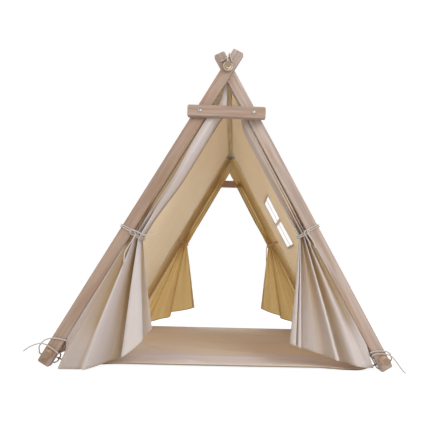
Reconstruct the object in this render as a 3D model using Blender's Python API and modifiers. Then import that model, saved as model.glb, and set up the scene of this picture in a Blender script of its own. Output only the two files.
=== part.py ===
# A child's wooden A-frame play tent: two A-frames of flat boards, a ridge pole, two base rails,
# a canvas canopy with tied back doors, a floor mat and the cords that hold them.
# Metres, +Z up. The origin is on the floor at the middle of the footprint, and the front faces -Y.
import math

import bmesh
import bpy
from mathutils import Matrix, Vector

# Driving dimensions of the frame
RIDGE_Z = 1.100
RAIL_Z = 0.043
RAIL_X = 0.564
FRAME_DEPTH = 1.100
BOARD_WIDTH = 0.044
BOARD_THICK = 0.020
BOARD_CORNER = 0.006
TOP_EXTENSION = 0.082
POLE_RADIUS = 0.0125
POLE_PROUD = 0.028
CROSSBAR_Z = 0.9135
CROSSBAR_LENGTH = 0.290
GAP = 0.0003

# Driving dimensions of the fastenings
SHANK_RADIUS = 0.0030
HEAD_RADIUS = 0.0068
HEAD_HEIGHT = 0.0036
SOCKET_RADIUS = 0.0023
SOCKET_DEPTH = 0.0018
NUT_RADIUS = 0.0058
NUT_THICK = 0.0050
COUNTERBORE_RADIUS = 0.0082
COUNTERBORE_DEPTH = 0.0064
SPACER_RADIUS = 0.0120
BARREL_RADIUS = 0.0045
FLANGE_RADIUS = 0.0080
FLANGE_THICK = 0.0025
BARREL_BORE_DEPTH = 0.0150

# Driving dimensions of the canvas
CLOTH = 0.0012
WALL_N = POLE_RADIUS + 2.0 * GAP
WALL_HALF_DEPTH = 0.4950
SLEEVE_TURN = math.radians(201.5)
SLEEVE_LENGTH = 0.070
HEM_LENGTH = 0.012
WINDOW_TOP = 0.430
WINDOW_BOTTOM = 0.705
WINDOW_BACK = 0.235
WINDOW_FRONT = 0.010
STRAP_WIDTH = 0.018
MULLION_WIDTH = 0.012
TAPE_WIDTH = 0.014
DOOR_Y = 0.5022
SEAM_N = 0.0125
DOOR_TOP_S = 0.035
SEAM_END_S = 1.100
BUNDLE_OUT = 0.024
BUNDLE_WIDTH = 0.026
BUNDLE_DEPTH = 0.025
PINCH_HALF = 0.010
HEM_PLEAT_DEPTH = 0.042

# Driving dimensions of the floor mat and the cords
MAT_HALF_WIDTH = 0.566
MAT_HALF_DEPTH = 0.5095
MAT_THICK = 0.0025
TAB_LENGTH = 0.056
TAB_ANGLE = math.radians(28.0)
TAB_FOLDS = 3
GROMMET_INSET = 0.0155
EYELET_RADIUS = 0.0045
GROMMET_RADIUS = 0.0090
GROMMET_THICK = 0.0010
CORD_RADIUS = 0.0025
CORD_SPACING = 0.0165
CORD_MIN_STEP = 0.0026
CORD_BEND = math.radians(36.0)

ROUND_SIDES = 32
LEG_ANGLE = math.atan2(RAIL_X, RIDGE_Z - RAIL_Z)
SIN_LEG = math.sin(LEG_ANGLE)
COS_LEG = math.cos(LEG_ANGLE)
TAN_LEG = math.tan(LEG_ANGLE)
LEG_SPAN = math.hypot(RAIL_X, RIDGE_Z - RAIL_Z)
CORNER_RISE = BOARD_CORNER * (SIN_LEG + COS_LEG - 1.0)
FOOT_EXTENSION = (RAIL_Z + CORNER_RISE - 0.5 * BOARD_WIDTH * SIN_LEG) / COS_LEG
BOLT_S = (RIDGE_Z - CROSSBAR_Z) / COS_LEG
LAYER = BOARD_THICK + GAP
FRONT_Y = -0.5 * FRAME_DEPTH
INNER_Y = FRONT_Y + LAYER

# One A-frame is laid out at the front and turned half round the vertical for the rear.
TURN = {"front": Matrix.Identity(4), "rear": Matrix.Rotation(math.pi, 4, "Z")}
# The leg of the outer layer leans from the lower left to the upper right, seen from outside.
LEGS = {
    "front_left_leg": ("front", -1, FRONT_Y),
    "front_right_leg": ("front", 1, INNER_Y),
    "rear_right_leg": ("rear", -1, FRONT_Y),
    "rear_left_leg": ("rear", 1, INNER_Y),
}


def board_point(side, s, n, y):
    """A point s down a leg from the ridge axis, n outwards from its centre line, at depth y."""
    x = side * (s * SIN_LEG + n * COS_LEG)
    return Vector((x, y, RIDGE_Z - s * COS_LEG + n * SIN_LEG))


def smooth_step(low, high, value):
    t = min(1.0, max(0.0, (value - low) / (high - low)))
    return t * t * (3.0 - 2.0 * t)


def lerp(a, b, t):
    return a + (b - a) * t


def clear_scene():
    for old in list(bpy.data.objects):
        bpy.data.objects.remove(old)


def new_collection(name):
    group = bpy.data.collections.new(name)
    bpy.context.scene.collection.children.link(group)
    return group


def material(name, colour, roughness, metallic=0.0):
    mat = bpy.data.materials.new(name)
    mat.use_nodes = True
    shader = mat.node_tree.nodes["Principled BSDF"]
    shader.inputs["Base Color"].default_value = (*colour, 1.0)
    shader.inputs["Roughness"].default_value = roughness
    shader.inputs["Metallic"].default_value = metallic
    return mat


WOOD = (0.50, 0.37, 0.27)
CANVAS = (0.66, 0.56, 0.44)
ROPE = (0.60, 0.53, 0.43)
STEEL = (0.62, 0.62, 0.63)
BRONZE = (0.36, 0.24, 0.13)


def add_object(name, data, colour, roughness=0.7, metallic=0.0):
    """Link an object, give it its own material and put it in the tent's collection."""
    obj = bpy.data.objects.new(name, data)
    TENT.objects.link(obj)
    data.materials.append(material(name + "_finish", colour, roughness, metallic))
    return obj


def place(obj, end, point=(0.0, 0.0, 0.0), turn=None):
    """Set an object of one A-frame at a point of the front layout, turned with its end."""
    local = Matrix.Translation(Vector(point))
    if turn is not None:
        local = local @ turn
    obj.matrix_world = TURN[end] @ local
    return obj


def add_modifier(obj, name, kind, **settings):
    modifier = obj.modifiers.new(name, kind)
    for key, value in settings.items():
        setattr(modifier, key, value)
    return modifier


def mesh_from(name, bm, smooth=False):
    mesh = bpy.data.meshes.new(name)
    bm.to_mesh(mesh)
    bm.free()
    if smooth:
        mesh.shade_smooth()
        mesh.set_sharp_from_angle(angle=math.radians(35.0))
    return mesh


def round_bar_mesh(name, radius, low, high, sides=ROUND_SIDES, bevel=0.0):
    """A bar of round section along Y, from low to high, with its end edges eased."""
    bm = bmesh.new()
    spin = Matrix.Rotation(math.radians(90.0), 4, "X")
    move = Matrix.Translation((0.0, 0.5 * (low + high), 0.0))
    bmesh.ops.create_cone(bm, cap_ends=True, segments=sides, radius1=radius, radius2=radius,
                          depth=high - low, matrix=move @ spin)
    if bevel > 0.0:
        rims = [edge for edge in bm.edges if len(edge.link_faces) == 2
                and max(len(face.verts) for face in edge.link_faces) == sides]
        bmesh.ops.bevel(bm, geom=rims, offset=bevel, segments=2, profile=0.5, affect="EDGES",
                        clamp_overlap=True)
    return mesh_from(name, bm, smooth=True)


def bore_radius(radius, sides=ROUND_SIDES):
    """The corner radius of a bore whose flats clear a bar of the given radius."""
    return (radius + GAP) / math.cos(math.pi / sides)


def cut_round(obj, end, point, radius, low, high, sides=ROUND_SIDES):
    """Cut a round hole along Y through an object, from a hidden cutter."""
    name = "%s_cutter_%d" % (obj.name, len(obj.modifiers))
    cutter = bpy.data.objects.new(name, round_bar_mesh(name, radius, low, high, sides))
    CUTTERS.objects.link(cutter)
    cutter.hide_render = True
    cutter.display_type = "WIRE"
    place(cutter, end, (point.x, 0.0, point.z))
    add_modifier(obj, "hole", "BOOLEAN", operation="DIFFERENCE", solver="EXACT", object=cutter)


def board_mesh(name, length_down, length_up, eased=0.0012):
    """A flat board along Z with round corners in its face and all its edges eased."""
    bm = bmesh.new()
    bmesh.ops.create_cube(bm, size=1.0)
    bmesh.ops.scale(bm, vec=(BOARD_WIDTH, BOARD_THICK, length_down + length_up), verts=bm.verts)
    bmesh.ops.translate(bm, vec=(0.0, 0.0, 0.5 * (length_up - length_down)), verts=bm.verts)
    corners = [edge for edge in bm.edges
               if abs(edge.verts[0].co.y - edge.verts[1].co.y) > 0.5 * BOARD_THICK]
    bmesh.ops.bevel(bm, geom=corners, offset=BOARD_CORNER, segments=4, profile=0.5, affect="EDGES")
    outline = [edge for edge in bm.edges
               if abs(edge.verts[0].co.y - edge.verts[1].co.y) < 0.5 * BOARD_THICK]
    bmesh.ops.bevel(bm, geom=outline, offset=eased, segments=1, profile=0.5, affect="EDGES")
    return mesh_from(name, bm, smooth=True)


def make_legs():
    """Four boards, each with bores for the ridge pole, its base rail and its crossbar bolt."""
    for name, (end, side, face_y) in LEGS.items():
        leg = add_object(name, board_mesh(name, LEG_SPAN + FOOT_EXTENSION, TOP_EXTENSION), WOOD)
        middle = face_y + 0.5 * BOARD_THICK
        lean = Matrix.Rotation(-side * LEG_ANGLE, 4, "Y")
        place(leg, end, (0.0, middle, RIDGE_Z), lean)
        low = face_y - 0.010
        high = face_y + BOARD_THICK + 0.010
        for s in (0.0, LEG_SPAN):
            cut_round(leg, end, board_point(side, s, 0.0, 0.0), bore_radius(POLE_RADIUS), low, high)
        bolt = board_point(side, BOLT_S, 0.0, 0.0)
        if side < 0:
            cut_round(leg, end, bolt, bore_radius(SHANK_RADIUS, 16), low, high, 16)
            back = face_y + BOARD_THICK
            cut_round(leg, end, bolt, COUNTERBORE_RADIUS, back - COUNTERBORE_DEPTH, high, 24)
        else:
            cut_round(leg, end, bolt, bore_radius(BARREL_RADIUS, 16), low, high, 16)


def make_poles():
    """The ridge pole and the two base rails, proud of both A-frames."""
    half = 0.5 * FRAME_DEPTH + POLE_PROUD
    spots = {"ridge_pole": (0.0, RIDGE_Z), "left_base_rail": (-RAIL_X, RAIL_Z),
             "right_base_rail": (RAIL_X, RAIL_Z)}
    for name, (x, z) in spots.items():
        pole = add_object(name, round_bar_mesh(name, POLE_RADIUS, -half, half, bevel=0.002), WOOD)
        place(pole, "front", (x, 0.0, z))


def turned(name, profile, colour, roughness, metallic, sides=18):
    """A turned piece: its profile runs down the outer side, from the top of the axis to the foot."""
    bm = bmesh.new()
    verts = [bm.verts.new((radius, 0.0, height)) for radius, height in profile]
    closed = profile[0][0] > 0.0
    count = len(verts)
    for index in range(count if closed else count - 1):
        bm.edges.new((verts[index], verts[(index + 1) % count]))
    obj = add_object(name, mesh_from(name, bm), colour, roughness, metallic)
    add_modifier(obj, "turn", "SCREW", steps=sides, render_steps=sides, axis="Z",
                 use_merge_vertices=True, merge_threshold=0.00001, use_smooth_shade=True,
                 use_normal_calculate=False)
    return obj


def head_profile(shank_length):
    """A low domed bolt head above its shank, the underside of the head at height zero."""
    arc = [(HEAD_RADIUS * math.sin(math.radians(a)),
            HEAD_HEIGHT * (0.35 + 0.65 * math.cos(math.radians(a))))
           for a in (0.0, 35.0, 65.0, 90.0)]
    return arc + [(HEAD_RADIUS, 0.0), (SHANK_RADIUS, 0.0), (SHANK_RADIUS, -shank_length + 0.0008),
                  (SHANK_RADIUS - 0.0008, -shank_length), (0.0, -shank_length)]


# Turns a piece made along Z so that its top looks out of the tent, towards -Y.
FACE_OUT = Matrix.Rotation(math.radians(90.0), 4, "X")


def make_bolt(name, end, side, shank_length):
    """A bolt through the crossbar, with a hexagonal socket in its domed head."""
    bolt = turned(name, head_profile(shank_length), STEEL, 0.25, 1.0)
    head_y = FRONT_Y - LAYER - GAP
    at = board_point(side, BOLT_S, 0.0, head_y)
    place(bolt, end, at, FACE_OUT)
    cut_round(bolt, end, at, SOCKET_RADIUS, head_y - 2.0 * HEAD_HEIGHT,
              head_y - HEAD_HEIGHT + SOCKET_DEPTH, 6)


def make_nut(name, end):
    """A hexagonal nut, sunk in the counterbore behind the outer leg."""
    bm = bmesh.new()
    bmesh.ops.create_cone(bm, cap_ends=True, segments=6, radius1=NUT_RADIUS, radius2=NUT_RADIUS,
                          depth=NUT_THICK)
    nut = add_object(name, mesh_from(name, bm), STEEL, 0.3, 1.0)
    seat = FRONT_Y + BOARD_THICK - COUNTERBORE_DEPTH + GAP
    at = board_point(-1, BOLT_S, 0.0, seat + 0.5 * NUT_THICK)
    place(nut, end, at, FACE_OUT)
    cut_round(nut, end, at, bore_radius(SHANK_RADIUS, 16), seat - 0.005, seat + NUT_THICK + 0.005, 16)


def make_barrel(name, end):
    """The flanged barrel nut of a release bolt, pushed into the inner leg from inside the tent."""
    length = BOARD_THICK - GAP
    bore = bore_radius(SHANK_RADIUS, 24)
    profile = [(bore, length), (BARREL_RADIUS, length), (BARREL_RADIUS, -GAP), (FLANGE_RADIUS, -GAP),
               (FLANGE_RADIUS, -0.6 * FLANGE_THICK), (0.8 * FLANGE_RADIUS, -FLANGE_THICK),
               (0.0, -FLANGE_THICK), (0.0, length - BARREL_BORE_DEPTH),
               (bore, length - BARREL_BORE_DEPTH)]
    bm = bmesh.new()
    verts = [bm.verts.new((radius, 0.0, height)) for radius, height in profile[:7]]
    floor = [bm.verts.new((radius, 0.0, height)) for radius, height in profile[7:]]
    for chain in (verts, floor):
        for first, second in zip(chain, chain[1:]):
            bm.edges.new((first, second))
    bm.edges.new((floor[-1], verts[0]))
    barrel = add_object(name, mesh_from(name, bm), STEEL, 0.3, 1.0)
    add_modifier(barrel, "turn", "SCREW", steps=24, render_steps=24, axis="Z",
                 use_merge_vertices=True, merge_threshold=0.00001, use_smooth_shade=True)
    place(barrel, end, board_point(1, BOLT_S, 0.0, INNER_Y + BOARD_THICK), FACE_OUT)


def make_crossbars():
    """Each crossbar with its spacer, its pivot bolt and nut, and its release bolt and barrel."""
    for end in TURN:
        name = end + "_crossbar"
        bar = add_object(name, board_mesh(name, 0.5 * CROSSBAR_LENGTH, 0.5 * CROSSBAR_LENGTH), WOOD)
        middle = FRONT_Y - LAYER + 0.5 * BOARD_THICK
        place(bar, end, (0.0, middle, CROSSBAR_Z), Matrix.Rotation(math.radians(90.0), 4, "Y"))
        for side in (-1, 1):
            at = board_point(side, BOLT_S, 0.0, 0.0)
            cut_round(bar, end, at, bore_radius(SHANK_RADIUS, 16), middle - 0.02, middle + 0.02, 16)
        name = end + "_spacer"
        spacer = add_object(name, round_bar_mesh(name, SPACER_RADIUS, -0.5 * BOARD_THICK,
                                                 0.5 * BOARD_THICK, 24, 0.001), WOOD)
        at = board_point(1, BOLT_S, 0.0, FRONT_Y + 0.5 * BOARD_THICK)
        place(spacer, end, at)
        cut_round(spacer, end, at, bore_radius(SHANK_RADIUS, 16), at.y - 0.02, at.y + 0.02, 16)
        grip = COUNTERBORE_DEPTH - GAP - NUT_THICK
        make_bolt(end + "_pivot_bolt", end, -1, GAP + LAYER + BOARD_THICK - grip)
        make_nut(end + "_pivot_nut", end)
        make_bolt(end + "_release_bolt", end, 1, GAP + LAYER + BOARD_THICK - GAP)
        make_barrel(end + "_release_barrel", end)


def leg_plane(side, s, n):
    """A point of the cross-section of the tent, as the (x, z) of a wall outline."""
    point = board_point(side, s, n, 0.0)
    return point.x, point.z


def wall_outline(side, cap):
    """The wall's section: over the pole, down the leg's line and round the rail in a sleeve."""
    inside = WALL_N
    outside = inside + CLOTH
    seam = LEG_SPAN - SLEEVE_LENGTH
    steps = 8
    outer = []
    inner_start = []
    if cap:
        first = LEG_ANGLE + 0.04
        last = math.pi - LEG_ANGLE
        angles = [lerp(first, last, k / steps) for k in range(steps + 1)]
        outer = [(outside * math.cos(a), RIDGE_Z + outside * math.sin(a)) for a in angles]
        inner_start = [(inside * math.cos(a), RIDGE_Z + inside * math.sin(a)) for a in reversed(angles)]
    else:
        outer = [leg_plane(side, 2.0 * GAP, outside)]
        inner_start = [leg_plane(side, 2.0 * GAP, inside)]
    turn = [SLEEVE_TURN * k / (steps + 2) for k in range(steps + 3)]
    outer += [leg_plane(side, LEG_SPAN + outside * math.sin(a), outside * math.cos(a)) for a in turn]
    outer += [leg_plane(side, seam, inside - CLOTH), leg_plane(side, seam - HEM_LENGTH, inside - CLOTH),
              leg_plane(side, seam - HEM_LENGTH, inside)]
    hole = [leg_plane(side, LEG_SPAN + inside * math.sin(a), inside * math.cos(a)) for a in turn]
    hole.append(leg_plane(side, seam + 0.004, inside))
    return outer + inner_start, hole


def flat_outline(name, loops, half_depth):
    """A flat outline in the X-Z plane, drawn out along Y by half its depth each way."""
    curve = bpy.data.curves.new(name, "CURVE")
    curve.dimensions = "2D"
    curve.fill_mode = "BOTH"
    curve.extrude = half_depth
    for loop in loops:
        spline = curve.splines.new("POLY")
        spline.points.add(len(loop) - 1)
        for point, (x, z) in zip(spline.points, loop):
            point.co = (x, z, 0.0, 1.0)
        spline.use_cyclic_u = True
    return curve


def curve_as_mesh(name, curve, matrix):
    """Turn a filled curve into a welded mesh, so that it can be cut."""
    holder = bpy.data.objects.new(name + "_curve", curve)
    TENT.objects.link(holder)
    bpy.context.view_layer.update()
    mesh = bpy.data.meshes.new_from_object(holder.evaluated_get(bpy.context.evaluated_depsgraph_get()))
    bpy.data.objects.remove(holder)
    bm = bmesh.new()
    bm.from_mesh(mesh)
    bmesh.ops.remove_doubles(bm, verts=bm.verts, dist=0.00001)
    bm.transform(matrix)
    bm.to_mesh(mesh)
    bm.free()
    mesh.name = name
    return mesh


# A curve is drawn in its own X-Y plane, and this stands it up in X-Z with its depth along Y.
STAND_UP = Matrix.Rotation(math.radians(90.0), 4, "X")


def wall_box(low_s, high_s, low_n, high_n, low_y, high_y):
    """A box lying along the right wall, from its limits down, out of and along the wall."""
    bm = bmesh.new()
    bmesh.ops.create_cube(bm, size=1.0)
    bmesh.ops.scale(bm, vec=(high_n - low_n, high_y - low_y, high_s - low_s), verts=bm.verts)
    middle = board_point(1, 0.5 * (low_s + high_s), 0.5 * (low_n + high_n), 0.5 * (low_y + high_y))
    tilt = Matrix.Translation(middle) @ Matrix.Rotation(-LEG_ANGLE, 4, "Y")
    bm.transform(tilt)
    return bm


def cut_box(obj, limits):
    name = "%s_cutter_%d" % (obj.name, len(obj.modifiers))
    cutter = bpy.data.objects.new(name, mesh_from(name, wall_box(*limits)))
    CUTTERS.objects.link(cutter)
    cutter.hide_render = True
    cutter.display_type = "WIRE"
    add_modifier(obj, "opening", "BOOLEAN", operation="DIFFERENCE", solver="EXACT", object=cutter)


def make_walls():
    """The two canvas walls; the left one runs on over the ridge pole to meet the right one."""
    for name, side, cap in (("left_wall", -1, True), ("right_wall", 1, False)):
        outline, hole = wall_outline(side, cap)
        curve = flat_outline(name, (outline, hole), WALL_HALF_DEPTH)
        wall = add_object(name, curve_as_mesh(name, curve, STAND_UP), CANVAS, 0.9)
        if side > 0:
            cut_box(wall, (WINDOW_TOP, WINDOW_BOTTOM, WALL_N - 0.01, WALL_N + 0.01,
                           WINDOW_FRONT, WINDOW_BACK))


def make_window():
    """The tape round the window and the two straps that cross it, sewn on the wall's outside."""
    low_n = WALL_N + CLOTH + GAP
    high_n = low_n + CLOTH
    bm = wall_box(WINDOW_TOP - TAPE_WIDTH, WINDOW_BOTTOM + TAPE_WIDTH, low_n, high_n,
                  WINDOW_FRONT - TAPE_WIDTH, WINDOW_BACK + TAPE_WIDTH)
    tape = add_object("window_straps", mesh_from("window_straps", bm), CANVAS, 0.9)
    middle_s = 0.5 * (WINDOW_TOP + WINDOW_BOTTOM)
    middle_y = 0.5 * (WINDOW_FRONT + WINDOW_BACK)
    rows = ((WINDOW_TOP, middle_s - 0.5 * STRAP_WIDTH), (middle_s + 0.5 * STRAP_WIDTH, WINDOW_BOTTOM))
    columns = ((WINDOW_FRONT, middle_y - 0.5 * MULLION_WIDTH),
               (middle_y + 0.5 * MULLION_WIDTH, WINDOW_BACK))
    for low_s, high_s in rows:
        for low_y, high_y in columns:
            cut_box(tape, (low_s, high_s, low_n - 0.01, high_n + 0.01, low_y, high_y))


# Each door: end, side and layer of its leg, and how its cloth is tied and falls.
DOORS = {
    "front_left_door": dict(end="front", side=-1, tie_s=0.715, free_x=0.236, free_z=0.118,
                            spread=0.079, flat_until=0.55, lift=3.0, pleats=4.0,
                            corner_x=0.514, corner_z=0.003, strip=0.050, tails="open"),
    "front_right_door": dict(end="front", side=1, tie_s=0.690, free_x=0.244, free_z=0.088,
                             spread=0.006, flat_until=0.25, lift=1.3, pleats=3.5,
                             corner_x=0.525, corner_z=0.010, strip=0.050, tails="loop"),
    "rear_right_door": dict(end="rear", side=-1, tie_s=0.640, free_x=0.217, free_z=0.120,
                            spread=0.006, flat_until=0.25, lift=1.3, pleats=4.0,
                            corner_x=0.525, corner_z=0.010, strip=0.040, tails="hanging"),
    "rear_left_door": dict(end="rear", side=1, tie_s=0.642, free_x=0.194, free_z=0.116,
                           spread=0.006, flat_until=0.25, lift=1.3, pleats=3.5,
                           corner_x=0.525, corner_z=0.010, strip=0.040, tails="loop"),
}
STRIP_COLUMNS = 3
PLEAT_COLUMNS = 4
UPPER_ROWS = 5
LOWER_ROWS = 6


def pleat(door, w):
    """How far a fold stands forward at w across the fan, from 0 to 1."""
    return 0.5 - 0.5 * math.cos(2.0 * math.pi * door["pleats"] * w)


def upper_section(door, s, u, w):
    """The gathered strip behind the leg, between the apex and the tie, at s down the leg."""
    tie_s = door["tie_s"]
    visible = lerp(door["strip"], BUNDLE_OUT + BUNDLE_WIDTH - 0.5 * BOARD_WIDTH,
                   smooth_step(0.45, tie_s - 0.05, s))
    free_n = max(-s * TAN_LEG + 0.0015, -0.5 * BOARD_WIDTH - visible)
    fan_n = max(-BUNDLE_OUT, lerp(SEAM_N, free_n, 0.55))
    depth = BUNDLE_DEPTH * smooth_step(0.25, tie_s - 0.02, s)
    if w is None:
        return board_point(door["side"], s, lerp(SEAM_N, fan_n, u), -DOOR_Y)
    forward = depth * pleat(door, w)
    return board_point(door["side"], s, lerp(fan_n, free_n, w), -DOOR_Y - forward)


def hem_point(door, u, w):
    """The lower edge: the sewn strip, then the turn at the foot, then the pleated hem."""
    side = door["side"]
    base_y = -DOOR_Y - 0.010
    if w is None:
        seam = board_point(side, SEAM_END_S, SEAM_N, -DOOR_Y)
        turn = board_point(side, SEAM_END_S + 0.030, -BUNDLE_OUT - 0.006, -DOOR_Y)
        corner = Vector((side * door["corner_x"], base_y - door["spread"], door["corner_z"]))
        return seam.lerp(turn, 2.0 * u) if u <= 0.5 else turn.lerp(corner, 2.0 * u - 1.0)
    x = side * lerp(door["corner_x"], door["free_x"], w)
    spread = door["spread"] * max(0.0, 1.0 - (w / 0.5) ** 2)
    forward = HEM_PLEAT_DEPTH * pleat(door, w) * smooth_step(-0.05, door["flat_until"], w)
    z = lerp(door["corner_z"], door["free_z"], w ** door["lift"])
    return Vector((x, base_y - spread - forward, z))


def door_rows(door):
    """Row positions: down the gathered strip, across the pinch at the tie, and down to the hem."""
    tie_s = door["tie_s"]
    upper = [lerp(DOOR_TOP_S, tie_s - PINCH_HALF, k / UPPER_ROWS) for k in range(UPPER_ROWS + 1)]
    lower = [k / LOWER_ROWS for k in range(LOWER_ROWS + 1)]
    return upper, lower


def make_doors():
    """The four door panels, pleated into a bundle at the tie and fanned out to the hem."""
    for name, door in DOORS.items():
        upper, lower = door_rows(door)
        fan_columns = int(round(PLEAT_COLUMNS * door["pleats"]))
        columns = STRIP_COLUMNS + fan_columns
        rows = len(upper) + len(lower)
        bm = bmesh.new()
        bmesh.ops.create_grid(bm, x_segments=columns, y_segments=rows - 1, size=0.5)
        bm.verts.ensure_lookup_table()
        for vert in bm.verts:
            column = int(round((vert.co.x + 0.5) * columns))
            row = int(round((vert.co.y + 0.5) * (rows - 1)))
            in_strip = column < STRIP_COLUMNS
            u = column / STRIP_COLUMNS
            w = None if in_strip else (column - STRIP_COLUMNS) / fan_columns
            if row < len(upper):
                vert.co = upper_section(door, upper[row], u, w)
            else:
                bundle = upper_section(door, door["tie_s"] + PINCH_HALF, u, w)
                vert.co = bundle.lerp(hem_point(door, u, w), lower[row - len(upper)])
        bmesh.ops.recalc_face_normals(bm, faces=bm.faces)
        panel = add_object(name, mesh_from(name, bm, smooth=True), CANVAS, 0.9)
        place(panel, door["end"])
        add_modifier(panel, "thickness", "SOLIDIFY", thickness=CLOTH, offset=0.0)


def fold_tab(bm, corner, inward):
    """Bend one corner of the mat upwards over three folds across its diagonal."""
    step = TAB_ANGLE / TAB_FOLDS
    axis = inward.cross(Vector((0.0, 0.0, 1.0)))
    for fold in range(TAB_FOLDS):
        start = corner + inward * (TAB_LENGTH - 0.008 * fold)
        lean = Matrix.Rotation(-step * fold, 4, axis)
        pivot = corner + inward * TAB_LENGTH
        normal = lean.to_3x3() @ inward
        on_line = pivot + lean.to_3x3() @ (start - pivot)
        geometry = bm.verts[:] + bm.edges[:] + bm.faces[:]
        bmesh.ops.bisect_plane(bm, geom=geometry, plane_co=on_line, plane_no=normal, dist=0.00001)
        beyond = [v for v in bm.verts if (v.co - on_line).dot(normal) < -0.00002
                  and (v.co - corner).length < 2.0 * TAB_LENGTH]
        bmesh.ops.rotate(bm, verts=beyond, cent=on_line, matrix=Matrix.Rotation(-step, 3, axis))


def eyelet_frame(x_sign, y_sign):
    """Where a corner's eyelet lies after the folds, and the turn of the tab round it."""
    corner = Vector((x_sign * MAT_HALF_WIDTH, y_sign * MAT_HALF_DEPTH, 0.0))
    inward = Vector((-x_sign, -y_sign, 0.0)).normalized()
    axis = inward.cross(Vector((0.0, 0.0, 1.0)))
    step = TAB_ANGLE / TAB_FOLDS
    eyelet = corner + inward * GROMMET_INSET
    point = corner + inward * TAB_LENGTH
    direction = -inward
    for fold in range(TAB_FOLDS):
        lean = Matrix.Rotation(-step * (fold + 1), 3, axis)
        reach = 0.008 if fold < TAB_FOLDS - 1 else TAB_LENGTH - 0.008 * (TAB_FOLDS - 1) - GROMMET_INSET
        direction = lean @ -inward
        point = point + direction * reach
    return eyelet, point, Matrix.Rotation(-TAB_ANGLE, 4, axis)


def make_mat():
    """The floor mat, flat on the floor with its four corners bent up round their eyelets."""
    bm = bmesh.new()
    bmesh.ops.create_grid(bm, x_segments=6, y_segments=6, size=1.0)
    bmesh.ops.scale(bm, vec=(MAT_HALF_WIDTH, MAT_HALF_DEPTH, 1.0), verts=bm.verts)
    corners = [(x_sign, y_sign) for x_sign in (-1, 1) for y_sign in (-1, 1)]
    for x_sign, y_sign in corners:
        corner = Vector((x_sign * MAT_HALF_WIDTH, y_sign * MAT_HALF_DEPTH, 0.0))
        inward = Vector((-x_sign, -y_sign, 0.0)).normalized()
        fold_tab(bm, corner, inward)
    mat = add_object("floor_mat", mesh_from("floor_mat", bm, smooth=True), CANVAS, 0.95)
    add_modifier(mat, "thickness", "SOLIDIFY", thickness=MAT_THICK, offset=1.0, use_even_offset=True)
    half = GROMMET_THICK + 0.5 * MAT_THICK + GAP
    barrel = EYELET_RADIUS + GROMMET_THICK
    for x_sign, y_sign in corners:
        name = "%s_%s_grommet" % ("front" if y_sign < 0 else "rear", "left" if x_sign < 0 else "right")
        point, lean = eyelet_frame(x_sign, y_sign)[1:]
        seat = Matrix.Translation(point) @ lean @ Matrix.Translation((0.0, 0.0, 0.5 * MAT_THICK))
        profile = [(EYELET_RADIUS, half), (GROMMET_RADIUS - 0.001, half),
                   (GROMMET_RADIUS, half - 0.6 * GROMMET_THICK), (GROMMET_RADIUS, half - GROMMET_THICK),
                   (barrel, half - GROMMET_THICK), (barrel, -half + GROMMET_THICK),
                   (GROMMET_RADIUS, -half + GROMMET_THICK), (GROMMET_RADIUS, -half + 0.6 * GROMMET_THICK),
                   (GROMMET_RADIUS - 0.001, -half), (EYELET_RADIUS, -half)]
        turned(name, profile, BRONZE, 0.4, 1.0).matrix_world = seat
        cutter_name = name + "_hole_cutter"
        hole = bmesh.new()
        bmesh.ops.create_cone(hole, cap_ends=True, segments=16, radius1=bore_radius(barrel, 16),
                              radius2=bore_radius(barrel, 16), depth=0.02, matrix=seat)
        cutter = bpy.data.objects.new(cutter_name, mesh_from(cutter_name, hole))
        CUTTERS.objects.link(cutter)
        cutter.hide_render = True
        cutter.display_type = "WIRE"
        add_modifier(mat, "eyelet", "BOOLEAN", operation="DIFFERENCE", solver="EXACT", object=cutter)


def smooth_route(points):
    """Points along a smooth curve through the route's own points, closer where it bends."""
    padded = [points[0] * 2.0 - points[1]] + points + [points[-1] * 2.0 - points[-2]]
    fine = []
    for index in range(1, len(padded) - 2):
        a, b, c, d = padded[index - 1:index + 3]
        for k in range(10):
            t = k / 10.0
            fine.append(0.5 * ((2.0 * b) + (c - a) * t + (2.0 * a - 5.0 * b + 4.0 * c - d) * t * t
                               + (3.0 * b - a - 3.0 * c + d) * t ** 3))
    fine.append(points[-1])
    route = [fine[0]]
    length = 0.0
    since = 0.0
    heading = fine[1] - fine[0]
    for first, second in zip(fine, fine[1:]):
        step = second - first
        length += step.length
        since += step.length
        if since > CORD_SPACING or (since > CORD_MIN_STEP and step.angle(heading) > CORD_BEND):
            route.append(second)
            heading = step
            since = 0.0
    if (route[-1] - fine[-1]).length < CORD_MIN_STEP:
        route.pop()
    route.append(fine[-1])
    return route, length


def least_gap(route):
    """The least clear distance between two stretches of a cord that are not neighbours."""
    lengths = [0.0]
    for first, second in zip(route, route[1:]):
        lengths.append(lengths[-1] + (second - first).length)
    near = min((route[i] - route[j]).length for i in range(len(route))
               for j in range(i + 1, len(route)) if lengths[j] - lengths[i] > 0.03)
    return near - 2.0 * CORD_RADIUS


def make_cord(name, end, points):
    """A cotton cord along a smooth route, as a tube with filled ends."""
    route, length = smooth_route([Vector(p) for p in points])
    curve = bpy.data.curves.new(name, "CURVE")
    curve.dimensions = "3D"
    curve.bevel_depth = CORD_RADIUS
    curve.bevel_resolution = 2
    curve.use_fill_caps = True
    spline = curve.splines.new("POLY")
    spline.points.add(len(route) - 1)
    for point, place_at in zip(spline.points, route):
        point.co = (*place_at, 1.0)
    place(add_object(name, curve, ROPE, 0.9), end)
    print("%s: %.3f m long in %d points, least gap to itself %.1f mm"
          % (name, length, len(route), 1000.0 * least_gap(route)))


CORD_LIE = CORD_RADIUS + 0.0004
EDGE_LIE = CORD_LIE + 0.0008
WRAP_PITCH = 0.0064


def edge_arc(edge_n, edge_y, radius, first, last, steps):
    """Points round an edge, as (n, y), from one angle to another; 0 is outwards, 90 to the front."""
    arc = []
    for k in range(steps + 1):
        angle = math.radians(lerp(first, last, k / steps))
        arc.append((edge_n + radius * math.cos(angle), edge_y - radius * math.sin(angle)))
    return arc


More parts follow.
